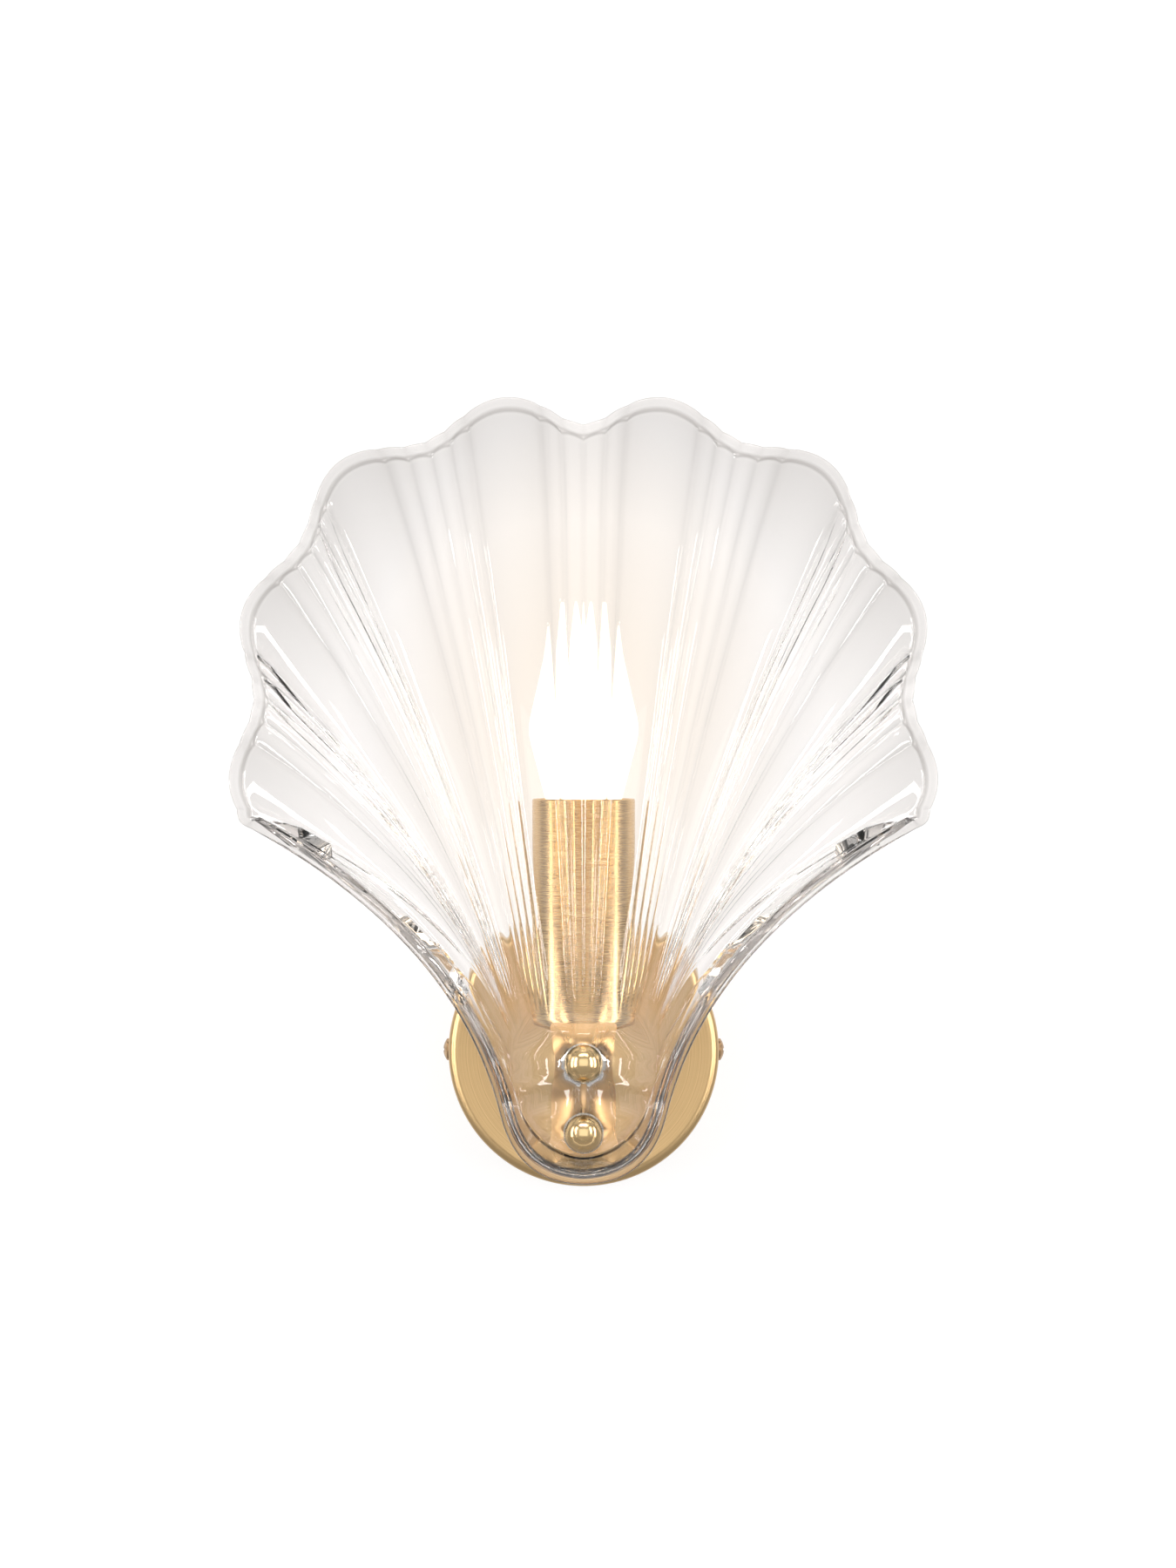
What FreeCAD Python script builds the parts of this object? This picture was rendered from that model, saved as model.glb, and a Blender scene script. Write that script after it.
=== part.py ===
import FreeCAD, Part
import math
import os

# Shell wall sconce: a fluted open-fronted glass shell held on a brass plate by two knurled dome nuts, in
# front of an upright candle bulb. Millimetres, +Z up. The wall is the plane y = 0, the front looks along -Y.
# The origin is the centre of the round canopy, on the wall. A depth d off the wall is the plane y = -d.

V = FreeCAD.Vector

# Canopy, wall bracket and the screws at its sides
CANOPY_R = 44.0
CANOPY_DEPTH = 25.0
CANOPY_WALL = 1.2
CANOPY_EDGE_R = 3.2
BRACKET_T = 2.0
BRACKET_WIDTH = 20.0
EAR_WIDTH = 12.0
EAR_CLEARANCE = 0.35
SIDE_SCREW_DEPTH = 12.5
SIDE_SCREW_R = 2.0
SIDE_SCREW_LENGTH = 7.0
SIDE_HEAD_R = 3.6
SIDE_HEAD_H = 1.9
WALL_SLOT_X = 27.0
WALL_SLOT_LENGTH = 12.0
WALL_SLOT_R = 2.25
CABLE_HOLE_R = 6.0
EARTH_SCREW_X = 14.0
EARTH_SCREW_R = 1.5

# Arm: hollow threaded nipple, its nut and washer, and the brass block that carries plate and lampholder
NIPPLE_R = 5.0
NIPPLE_BORE_R = 3.6
NIPPLE_TAIL = 5.6
NIPPLE_GRIP = 8.0
NIPPLE_NUT_R = 8.1
NIPPLE_NUT_T = 3.6
LOCK_WASHER_T = 0.8
BLOCK_WIDTH = 18.0
BLOCK_BORE_R = 4.2
LAMP_GAP = 2.5

# Lampholder cup and the lampholder inside it
CUP_R = 16.5
CUP_WALL = 1.1
CUP_TOP = 82.0
HOLDER_R = 13.4
HOLDER_TOP = 72.0
SHELL_BORE_R = 7.0
SHELL_T = 0.4
SOCKET_NIPPLE_RISE = 9.0

# Candle bulb with an E14 cap
BULB_LENGTH = 98.0
BULB_R = 17.5
BULB_GLASS_T = 1.0
BULB_NECK_R = 10.2
BULB_SHOULDER_R = 12.5
BULB_POINT_R = 4.5
BELLY_SHARE = 0.42
SHOULDER_SHARE = 0.72
ENGINE_R = 4.0
ENGINE_HEIGHT = 32.0
CAP_R = 6.9
CAP_LENGTH = 27.0
TIP_R = 2.4
TIP_Z = 47.6

# Plate, studs, washers and knurled nuts that hold the glass
PLATE_WIDTH = 22.0
PLATE_TOP = 11.6
PLATE_T = 2.0
PLATE_CORNER_R = 1.6
UPPER_STUD_Z = -1.0
STUD_SPACING = 22.0
STUD_MARGIN = 7.0
STUD_R = 2.0
REAR_WASHER_T = 1.0
FRONT_WASHER_T = 1.0
WASHER_R = 6.4
KNURL_R = 6.1
KNURL_H = 2.4
DOME_R = 5.7
DOME_H = 4.1
NUT_BORE = 4.8

# Glass shell
SEAT_T = 7.0
SEAT_HALF_WIDTH = 22.8
SEAT_RISE = 13.2
SEAT_HOLE_R = 3.0
FAN_CENTRE_Z = 100.0
FAN_HALF_WIDTH = 105.8
FAN_RISE = 103.0
FAN_STEP_DEG = 13.83
RIM_T = 3.2
RIM_BAND = 4.4
RIM_TOP_REACH = 110.0
LIP_REACH = 89.0
LOBE_OUTLINE = 3.8
MIDDLE_DIP = 0.45
LOBE_RELIEF = 2.4
FLUTE_RELIEF = 0.6
FLUTE_OUTLINE = 0.3
SIDE_TOP = (102.5, 73.0)
SIDE_BEND = (39.0, 38.0)
SIDE_FOOT_X = 26.0
SIDE_FOOT_RISE = 22.1
LIP_DROP = 7.6

# Wiring
LEAD_R = 0.9
TERMINAL_SIZE = (26.0, 12.0, 16.0)

# Clearances
RUNNING = 0.05
SLIP = 0.15
SEATED = 0.05

# Places that follow from the sizes above
CANOPY_INNER_R = CANOPY_R - CANOPY_WALL
CANOPY_INNER_D = CANOPY_DEPTH - CANOPY_WALL
EAR_OUTER_X = math.sqrt((CANOPY_INNER_R - EAR_CLEARANCE) ** 2 - (EAR_WIDTH / 2) ** 2)
STRAP_HALF = math.sqrt((CANOPY_INNER_R - EAR_CLEARANCE) ** 2 - (BRACKET_WIDTH / 2) ** 2)
LAMP_DEPTH = CANOPY_DEPTH + LAMP_GAP + CUP_R
CUP_BOTTOM = BLOCK_WIDTH / 2
HOLDER_BOTTOM = CUP_BOTTOM + CUP_WALL
BLOCK_FRONT = LAMP_DEPTH + CUP_R + 0.5
PLATE_FRONT = BLOCK_FRONT + PLATE_T
SEAT_BACK = PLATE_FRONT + REAR_WASHER_T
SEAT_FRONT = SEAT_BACK + SEAT_T
WASHER_BACK = SEAT_FRONT + SEATED
NUT_BACK = WASHER_BACK + FRONT_WASHER_T
STUD_ZS = (UPPER_STUD_Z, UPPER_STUD_Z - STUD_SPACING)
PLATE_BOTTOM = STUD_ZS[1] - STUD_MARGIN
SEAT_DROP = -PLATE_BOTTOM
LIP_BOTTOM = PLATE_BOTTOM - LIP_DROP
SIDE_FOOT = (SIDE_FOOT_X, LIP_BOTTOM + SIDE_FOOT_RISE)
CAP_TOP = TIP_Z + CAP_LENGTH
WELL_FLOOR = TIP_Z - 3.6
CHAMBER_TOP = HOLDER_BOTTOM + SOCKET_NIPPLE_RISE + 14
TAB_LOW = CHAMBER_TOP - 4
TAB_X = SHELL_BORE_R - 0.2
TAB_HALF = 0.8


def at(x, d, z):
    """A point x across, d off the wall and z up."""
    return V(x, -d, z)


def rod(r, x, z, d_back, d_front):
    """Round bar square to the wall."""
    return Part.makeCylinder(r, d_front - d_back, at(x, d_back, z), V(0, -1, 0))


def post(r, z_low, z_high):
    """Round bar standing on the lamp's axis."""
    return Part.makeCylinder(r, z_high - z_low, at(0, LAMP_DEPTH, z_low), V(0, 0, 1))


def crossbar(r, half_length):
    """Round bar along X at the side screws' depth."""
    return Part.makeCylinder(r, 2 * half_length, at(-half_length, SIDE_SCREW_DEPTH, 0), V(1, 0, 0))


def box(x, d, z):
    """Box between two corners, given as (low, high) pairs."""
    return Part.makeBox(x[1] - x[0], d[1] - d[0], z[1] - z[0], at(x[0], d[1], z[0]))


def face_of(edges):
    return Part.Face(Part.Wire(edges))


def polyline(points):
    return [Part.makeLine(a, b) for a, b in zip(points, points[1:])]


def dome_arc(r, low, high):
    """Arc of a sphere centred on the turning axis, from radius r at one height to the crown."""
    rise = high - low
    ball = (r * r + rise * rise) / (2 * rise)
    half = math.asin(min(r / ball, 1.0)) / 2
    middle = V(ball * math.sin(half), 0, high - ball + ball * math.cos(half))
    return Part.Arc(V(r, 0, low), middle, V(0, 0, high)).toShape()


def lamp_turned(outline):
    """Solid turned on the lamp's axis from a closed list of edges drawn as (radius, 0, height)."""
    solid = face_of(outline).revolve(V(0, 0, 0), V(0, 0, 1), 360)
    solid.translate(at(0, LAMP_DEPTH, 0))
    return solid


def hexagon(across_corners_r, x, z, d_back, d_front):
    points = []
    for i in range(7):
        a = math.radians(60 * i)
        points.append(at(x + across_corners_r * math.cos(a), d_back, z + across_corners_r * math.sin(a)))
    return face_of(polyline(points)).extrude(V(0, d_back - d_front, 0))


# ---- canopy and wall bracket -------------------------------------------------------------------------------


def canopy():
    """Spun brass dish, open to the wall, with a rounded front edge."""
    k = math.sqrt(0.5)
    outer_r = CANOPY_EDGE_R
    cx = CANOPY_R - outer_r
    cd = CANOPY_DEPTH - outer_r
    outline = [
        Part.makeLine(at(CANOPY_INNER_R, 0, 0), at(CANOPY_R, 0, 0)),
        Part.makeLine(at(CANOPY_R, 0, 0), at(CANOPY_R, cd, 0)),
        Part.Arc(at(CANOPY_R, cd, 0), at(cx + outer_r * k, cd + outer_r * k, 0),
                 at(cx, CANOPY_DEPTH, 0)).toShape(),
        Part.makeLine(at(cx, CANOPY_DEPTH, 0), at(0, CANOPY_DEPTH, 0)),
        Part.makeLine(at(0, CANOPY_DEPTH, 0), at(0, CANOPY_INNER_D, 0)),
        Part.makeLine(at(0, CANOPY_INNER_D, 0), at(cx, CANOPY_INNER_D, 0)),
        Part.makeLine(at(cx, CANOPY_INNER_D, 0), at(CANOPY_INNER_R, cd, 0)),
        Part.makeLine(at(CANOPY_INNER_R, cd, 0), at(CANOPY_INNER_R, 0, 0)),
    ]
    dish = face_of(outline).revolve(V(0, 0, 0), V(0, 1, 0), 360)
    dish = dish.cut(rod(NIPPLE_R + SLIP, 0, 0, 0, CANOPY_DEPTH + 1))
    return dish.cut(crossbar(SIDE_SCREW_R + SLIP, CANOPY_R + 2))


def wall_bracket():
    """Bent steel strap: two wall slots, a cable hole, an earth hole and a threaded ear at each end."""
    ear_d = SIDE_SCREW_DEPTH + EAR_WIDTH / 2
    half = BRACKET_WIDTH / 2
    strap = box((-STRAP_HALF, STRAP_HALF), (0, BRACKET_T), (-half, half))
    for side in (-1, 1):
        foot = sorted((side * (STRAP_HALF - 3), side * EAR_OUTER_X))
        ear = sorted((side * (EAR_OUTER_X - BRACKET_T), side * EAR_OUTER_X))
        strap = strap.fuse(box(foot, (0, BRACKET_T), (-EAR_WIDTH / 2, EAR_WIDTH / 2)))
        strap = strap.fuse(box(ear, (0, ear_d), (-EAR_WIDTH / 2, EAR_WIDTH / 2)))
        slot_ends = [side * WALL_SLOT_X + end * (WALL_SLOT_LENGTH / 2 - WALL_SLOT_R) for end in (-1, 1)]
        slot = box(slot_ends, (-1, BRACKET_T + 1), (-WALL_SLOT_R, WALL_SLOT_R))
        for x in slot_ends:
            slot = slot.fuse(rod(WALL_SLOT_R, x, 0, -1, BRACKET_T + 1))
        strap = strap.cut(slot)
    strap = strap.removeSplitter()
    strap = strap.cut(rod(CABLE_HOLE_R, 0, 0, -1, BRACKET_T + 1))
    strap = strap.cut(rod(EARTH_SCREW_R + RUNNING, EARTH_SCREW_X, 0, -1, BRACKET_T + 1))
    strap = strap.cut(crossbar(SIDE_SCREW_R + RUNNING, CANOPY_R))
    bends = []
    for edge in strap.Edges:
        box_of = edge.BoundBox
        upright = abs(box_of.ZLength - EAR_WIDTH) < 0.01
        if upright and abs(box_of.YMax) < 0.01 and abs(abs(box_of.XMin) - EAR_OUTER_X) < 0.01:
            bends.append(edge)
    return strap.makeFillet(BRACKET_T * 0.9, bends)


def side_screw(side):
    """Pan-head screw through the canopy's side into the bracket's ear, with a cross recess."""
    head_base = CANOPY_R + SEATED
    end = at(side * (head_base - SIDE_SCREW_LENGTH), SIDE_SCREW_DEPTH, 0)
    shank = Part.makeCylinder(SIDE_SCREW_R, SIDE_SCREW_LENGTH, end, V(side, 0, 0))
    rise = SIDE_HEAD_H * 0.35
    outline = polyline([V(0, 0, 0), V(SIDE_HEAD_R, 0, 0), V(SIDE_HEAD_R, 0, rise)])
    outline.append(dome_arc(SIDE_HEAD_R, rise, SIDE_HEAD_H))
    outline.append(Part.makeLine(V(0, 0, SIDE_HEAD_H), V(0, 0, 0)))
    head = face_of(outline).revolve(V(0, 0, 0), V(0, 0, 1), 360)
    for turn in (0, 90):
        corner = V(-SIDE_HEAD_R * 0.55, -0.4, SIDE_HEAD_H * 0.45)
        recess = Part.makeBox(SIDE_HEAD_R * 1.1, 0.8, SIDE_HEAD_H, corner)
        recess.rotate(V(0, 0, 0), V(0, 0, 1), turn)
        head = head.cut(recess)
    head.rotate(V(0, 0, 0), V(0, 1, 0), 90 * side)
    head.translate(at(side * head_base, SIDE_SCREW_DEPTH, 0))
    return shank.fuse(head).removeSplitter()


# ---- arm ---------------------------------------------------------------------------------------------------


def arm_nipple():
    tail = CANOPY_INNER_D - NIPPLE_TAIL
    tube = rod(NIPPLE_R, 0, 0, tail, CANOPY_DEPTH + NIPPLE_GRIP)
    return tube.cut(rod(NIPPLE_BORE_R, 0, 0, tail - 1, CANOPY_DEPTH + NIPPLE_GRIP + 1))


def nipple_nut():
    front = CANOPY_INNER_D - LOCK_WASHER_T
    nut = hexagon(NIPPLE_NUT_R, 0, 0, front - NIPPLE_NUT_T, front)
    return nut.cut(rod(NIPPLE_R + RUNNING, 0, 0, 0, CANOPY_DEPTH))


def lock_washer():
    """Toothed washer: a ring with small notches round its edge."""
    back = CANOPY_INNER_D - LOCK_WASHER_T
    ring = rod(NIPPLE_NUT_R, 0, 0, back, CANOPY_INNER_D)
    ring = ring.cut(rod(NIPPLE_R + SLIP, 0, 0, 0, CANOPY_DEPTH))
    notch = box((-0.6, 0.6), (back - 1, CANOPY_INNER_D + 1), (NIPPLE_NUT_R - 1.2, NIPPLE_NUT_R + 1))
    for i in range(12):
        tooth_gap = notch.copy()
        tooth_gap.rotate(V(0, 0, 0), V(0, 1, 0), 30 * i)
        ring = ring.cut(tooth_gap)
    return ring


def arm_block():
    """Square brass block: bore for the nipple and leads, bore up to the lampholder, stud hole in front."""
    half = BLOCK_WIDTH / 2
    block = box((-half, half), (CANOPY_DEPTH, BLOCK_FRONT), (-half, half))
    long_edges = [e for e in block.Edges if e.BoundBox.YLength > half and e.BoundBox.XLength < 0.01]
    block = block.makeFillet(1.5, long_edges)
    block = block.cut(rod(BLOCK_BORE_R, 0, 0, CANOPY_DEPTH - 1, LAMP_DEPTH))
    block = block.cut(rod(NIPPLE_R + RUNNING, 0, 0, CANOPY_DEPTH - 1, CANOPY_DEPTH + NIPPLE_GRIP + SLIP))
    block = block.cut(post(BLOCK_BORE_R, 0, half + 1))
    block = block.cut(post(NIPPLE_R + RUNNING, half - 5, half + 1))
    block = block.cut(Part.makeSphere(BLOCK_BORE_R, at(0, LAMP_DEPTH, 0)))
    return block.cut(rod(STUD_R + RUNNING, 0, UPPER_STUD_Z, BLOCK_FRONT - 6, BLOCK_FRONT + 1))


# ---- lampholder --------------------------------------------------------------------------------------------


def lampholder_cup():
    """Drawn brass cup with a small rolled foot radius and a turned-in bottom."""
    foot = 2.5
    k = math.sqrt(0.5)
    inner = CUP_R - CUP_WALL
    outline = [
        Part.makeLine(V(0, 0, CUP_BOTTOM), V(CUP_R - foot, 0, CUP_BOTTOM)),
        Part.Arc(V(CUP_R - foot, 0, CUP_BOTTOM), V(CUP_R - foot + foot * k, 0, CUP_BOTTOM + foot - foot * k),
                 V(CUP_R, 0, CUP_BOTTOM + foot)).toShape(),
    ]
    wall = [V(CUP_R, 0, CUP_BOTTOM + foot), V(CUP_R, 0, CUP_TOP - 0.4), V(CUP_R - 0.4, 0, CUP_TOP)]
    wall += [V(inner + 0.2, 0, CUP_TOP), V(inner, 0, CUP_TOP - 0.2), V(inner, 0, CUP_BOTTOM + foot)]
    floor = [V(inner - foot + CUP_WALL, 0, HOLDER_BOTTOM), V(0, 0, HOLDER_BOTTOM), V(0, 0, CUP_BOTTOM)]
    return lamp_turned(outline + polyline(wall + floor)).cut(post(NIPPLE_R + SLIP, 0, CUP_TOP / 2))


def socket_nipple():
    low = BLOCK_WIDTH / 2 - 5 + SLIP
    high = HOLDER_BOTTOM + SOCKET_NIPPLE_RISE
    return post(NIPPLE_R, low, high).cut(post(NIPPLE_BORE_R, low - 1, high + 1))


def lampholder_body():
    """Moulded lampholder: threaded inlet, terminal chamber below, socket well above, wiring holes between."""
    chamber_low = HOLDER_BOTTOM + SOCKET_NIPPLE_RISE
    body = post(HOLDER_R, HOLDER_BOTTOM, HOLDER_TOP)
    body = body.makeFillet(1.2, [e for e in body.Edges if abs(e.BoundBox.ZMin - HOLDER_TOP) < 0.01])
    body = body.cut(post(NIPPLE_R + RUNNING, HOLDER_BOTTOM - 1, chamber_low + SLIP))
    body = body.cut(post(HOLDER_R - 3.4, chamber_low, CHAMBER_TOP))
    body = body.cut(post(SHELL_BORE_R + SHELL_T + RUNNING, WELL_FLOOR, HOLDER_TOP + 1))
    for side in (-1, 1):
        foot = at(side * (TAB_X + 0.3), LAMP_DEPTH, CHAMBER_TOP - 1)
        body = body.cut(Part.makeCylinder(TAB_HALF + 0.4, WELL_FLOOR - CHAMBER_TOP + 2, foot, V(0, 0, 1)))
    return body


def screw_shell():
    """Threaded outer contact of the socket, a thin rolled sleeve with a tab down to its terminal."""
    low = TIP_Z + 1.6
    high = HOLDER_TOP - 1.0
    outer = SHELL_BORE_R + SHELL_T
    tube = post(outer, TAB_LOW, high).cut(post(SHELL_BORE_R, TAB_LOW - 1, high + 1))
    below = (TAB_LOW - 1, low)
    wide = (-outer - 1, outer + 1)
    tube = tube.cut(box((-outer - 1, 0), (LAMP_DEPTH - outer - 1, LAMP_DEPTH + outer + 1), below))
    for side in (-1, 1):
        edge = sorted((LAMP_DEPTH + side * TAB_HALF, LAMP_DEPTH + side * (outer + 1)))
        tube = tube.cut(box(wide, edge, below))
    return tube


def centre_contact():
    """Springy centre contact: an arched leaf with a tab down to its terminal."""
    top = TIP_Z - SEATED
    base = WELL_FLOOR
    thick = 0.5
    outer = [V(-TAB_X, 0, base + thick), V(-0.6, 0, top), V(2.2, 0, top - 0.9)]
    leaf = [V(2.2, 0, top - 0.9 - thick), V(-0.4, 0, top - thick), V(-TAB_X, 0, base)]
    band = face_of(polyline(outer + leaf + [outer[0]])).extrude(V(0, 3.0, 0))
    band.translate(V(0, -LAMP_DEPTH - 1.5, 0))
    tab_width = (LAMP_DEPTH - TAB_HALF, LAMP_DEPTH + TAB_HALF)
    tab = box((-TAB_X - thick, -TAB_X), tab_width, (TAB_LOW, base + thick))
    return band.fuse(tab).removeSplitter()


# ---- bulb --------------------------------------------------------------------------------------------------


def envelope_arcs(shrink):
    """Neck point, then three points on each of the candle's three balls, all drawn in by shrink."""
    height = BULB_LENGTH - CAP_LENGTH
    centres = (BELLY_SHARE * height, SHOULDER_SHARE * height, height - BULB_POINT_R)
    balls = [(r - shrink, CAP_TOP + z) for r, z in zip((BULB_R, BULB_SHOULDER_R, BULB_POINT_R), centres)]
    neck = BULB_NECK_R - shrink
    first_r, first_z = balls[0]
    rise = first_z - CAP_TOP
    angles = [math.acos(first_r / math.hypot(neck, rise)) - math.atan2(rise, neck)]
    for (r, z), (next_r, next_z) in zip(balls, balls[1:]):
        angles.append(math.asin((r - next_r) / (next_z - z)))
    angles.append(math.pi / 2)
    arcs = []
    for (r, z), low, high in zip(balls, angles, angles[1:]):
        arcs.append([V(r * math.cos(a), 0, z + r * math.sin(a)) for a in (low, (low + high) / 2, high)])
    return V(neck, 0, CAP_TOP), arcs


def bulb_envelope():
    """Opal candle envelope: three balls of falling size joined by tangent cones, hollow inside."""
    neck, arcs = envelope_arcs(0)
    outline = []
    start = neck
    for arc in arcs:
        outline.append(Part.makeLine(start, arc[0]))
        outline.append(Part.Arc(*arc).toShape())
        start = arc[-1]
    neck_inside, arcs_inside = envelope_arcs(BULB_GLASS_T)
    inside = [neck_inside] + [point for arc in arcs_inside for point in (arc[0], arc[-1])]
    outline += polyline([start, *reversed(inside), neck])
    return lamp_turned(outline)


def light_engine():
    """Board and column of diodes inside the envelope."""
    foot = post(BULB_NECK_R - 1.6 * BULB_GLASS_T, CAP_TOP + SEATED, CAP_TOP + 2 * BULB_GLASS_T)
    column = post(ENGINE_R, CAP_TOP + 2 * BULB_GLASS_T, CAP_TOP + 2 * BULB_GLASS_T + ENGINE_HEIGHT)
    return foot.fuse(column).removeSplitter()


def bulb_cap():
    """Screw cap: plain threaded barrel flaring to the neck of the envelope."""
    flare_low = HOLDER_TOP - 0.2
    flare_high = CAP_TOP - 1.0
    low = TIP_Z + 3.4
    inner = CAP_R - 1.5
    barrel = [V(inner, 0, low), V(CAP_R, 0, low + 1.5), V(CAP_R, 0, flare_low)]
    collar = [V(BULB_NECK_R, 0, flare_high), V(BULB_NECK_R, 0, CAP_TOP), V(0, 0, CAP_TOP)]
    hollow = [V(0, 0, flare_high), V(inner, 0, flare_high), barrel[0]]
    return lamp_turned(polyline(barrel + collar + hollow))


def bulb_insulator():
    """Black glass ring between cap and centre tip."""
    low = TIP_Z + 1.2
    cone = Part.makeCone(TIP_R + 0.4, 5.3, 2.2, at(0, LAMP_DEPTH, low), V(0, 0, 1))
    plug = post(5.3, low + 2.2, low + 5.0)
    return cone.fuse(plug).removeSplitter()


def bulb_tip():
    return Part.makeCone(TIP_R * 0.6, TIP_R, 1.2, at(0, LAMP_DEPTH, TIP_Z), V(0, 0, 1))


# ---- what holds the glass ----------------------------------------------------------------------------------


def glass_plate():
    """Brass plate brazed to the block, drilled for the two studs."""
    plate = box((-PLATE_WIDTH / 2, PLATE_WIDTH / 2), (BLOCK_FRONT, PLATE_FRONT), (PLATE_BOTTOM, PLATE_TOP))
    corners = [e for e in plate.Edges if abs(e.BoundBox.YLength - PLATE_T) < 0.01]
    plate = plate.makeFillet(PLATE_CORNER_R, corners)
    for z in STUD_ZS:
        plate = plate.cut(rod(STUD_R + RUNNING, 0, z, BLOCK_FRONT - 1, PLATE_FRONT + 1))
    return plate


def stud(z, tail):
    """Threaded stud; the lower one has a head behind the plate."""
    end = NUT_BACK + NUT_BORE - 0.5
    pin = rod(STUD_R, 0, z, BLOCK_FRONT - tail, end)
    tip_edge = [e for e in pin.Edges if abs(e.BoundBox.YMin + end) < 0.01 and e.BoundBox.XLength > STUD_R]
    return pin.makeChamfer(0.4, tip_edge)


def lower_stud():
    z = STUD_ZS[1]
    return stud(z, 1.8).fuse(rod(3.6, 0, z, BLOCK_FRONT - 1.8, BLOCK_FRONT)).removeSplitter()


def stud_sleeve(z):
    """Soft sleeve that keeps the stud off the glass."""
    tube = rod(SEAT_HOLE_R - RUNNING, 0, z, PLATE_FRONT + REAR_WASHER_T, SEAT_FRONT)
    return tube.cut(rod(STUD_R + RUNNING, 0, z, 0, SEAT_FRONT + 1))


def washer(z, back, thickness):
    ring = rod(WASHER_R, 0, z, back, back + thickness)
    return ring.cut(rod(STUD_R + SLIP, 0, z, 0, back + thickness + 1))


def knurled_nut(z):
    """Dome nut: a knurled collar, a small step and a polished dome, with a blind threaded bore."""
    step = KNURL_H
    edge = 0.35
    top = step + DOME_H
    outline = polyline([V(0, 0, 0), V(KNURL_R - edge, 0, 0), V(KNURL_R, 0, edge), V(KNURL_R, 0, step - edge),
                        V(KNURL_R - edge, 0, step), V(DOME_R, 0, step)])
    outline.append(dome_arc(DOME_R, step, top))
    outline.append(Part.makeLine(V(0, 0, top), V(0, 0, 0)))
    nut = face_of(outline).revolve(V(0, 0, 0), V(0, 0, 1), 360)
    nut = nut.cut(Part.makeCylinder(STUD_R + RUNNING, NUT_BORE, V(0, 0, 0), V(0, 0, 1)))
    nut.rotate(V(0, 0, 0), V(1, 0, 0), 90)
    nut.translate(at(0, NUT_BACK, z))
    return nut


# ---- wiring ------------------------------------------------------------------------------------------------

TERMINAL_X = 8.0
TERMINAL_LOW = NIPPLE_NUT_R + 3.0
TERMINAL_BACK = CANOPY_INNER_D - TERMINAL_SIZE[1]
LEAD_DEPTH = TERMINAL_BACK + 6


def terminal_block():
    """Three-way screw terminal strip on the canopy's inner face, its poles a little proud of the web."""
    width, depth, height = TERMINAL_SIZE
    mid = TERMINAL_LOW + height / 2
    web_height = (TERMINAL_LOW + 1, TERMINAL_LOW + height - 1)
    block = box((-width / 2, width / 2), (TERMINAL_BACK + 2.5, CANOPY_INNER_D), web_height)
    for i in (-1, 0, 1):
        x = i * TERMINAL_X
        pole = box((x - 3.2, x + 3.2), (TERMINAL_BACK, CANOPY_INNER_D), (TERMINAL_LOW, TERMINAL_LOW + height))
        block = block.fuse(pole)
    block = block.removeSplitter()
    for i in (-1, 0, 1):
        x = i * TERMINAL_X
        bore = Part.makeCylinder(1.7, height + 2, at(x, LEAD_DEPTH, TERMINAL_LOW - 1), V(0, 0, 1))
        block = block.cut(bore)
        for z in (mid - 4, mid + 4):
            block = block.cut(rod(1.6, x, z, TERMINAL_BACK - 1, TERMINAL_BACK + 4))
    return block


def terminal_screws():
    mid = TERMINAL_LOW + TERMINAL_SIZE[2] / 2
    screws = []
    for i in (-1, 0, 1):
        for z in (mid - 4, mid + 4):
            x = i * TERMINAL_X
            screw = rod(1.5, x, z, TERMINAL_BACK + 0.8, TERMINAL_BACK + 4)
            slot = box((x - 2, x + 2), (TERMINAL_BACK, TERMINAL_BACK + 1.5), (z - 0.25, z + 0.25))
            screws.append(screw.cut(slot))
    return Part.makeCompound(screws)


def earth_screw():
    head = rod(2.8, EARTH_SCREW_X, 0, BRACKET_T + 0.8, BRACKET_T + 2.6)
    slot = box((EARTH_SCREW_X - 3, EARTH_SCREW_X + 3), (BRACKET_T + 1.8, BRACKET_T + 3), (-0.35, 0.35))
    return head.cut(slot).fuse(rod(EARTH_SCREW_R, EARTH_SCREW_X, 0, 0.3, BRACKET_T + 1)).removeSplitter()


LUG_Z = 7.6


def earth_lug():
    """Ring tag under the earth screw with a crimp barrel for its lead."""
    ring = rod(3.2, EARTH_SCREW_X, 0, BRACKET_T, BRACKET_T + 0.8)
    tongue = box((EARTH_SCREW_X - 1.4, EARTH_SCREW_X + 1.4), (BRACKET_T, BRACKET_T + 0.8), (0, LUG_Z))
    up = V(0, 0, 1)
    barrel = Part.makeCylinder(1.7, 3.6, at(EARTH_SCREW_X, BRACKET_T + 1.7, LUG_Z - 3.6), up)
    lug = ring.fuse([tongue, barrel]).removeSplitter()
    bore = Part.makeCylinder(LEAD_R + RUNNING, 2.8, at(EARTH_SCREW_X, BRACKET_T + 1.7, LUG_Z - 2.8), up)
    return lug.cut(rod(EARTH_SCREW_R + RUNNING, EARTH_SCREW_X, 0, 0, BRACKET_T + 1)).cut(bore)


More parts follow.
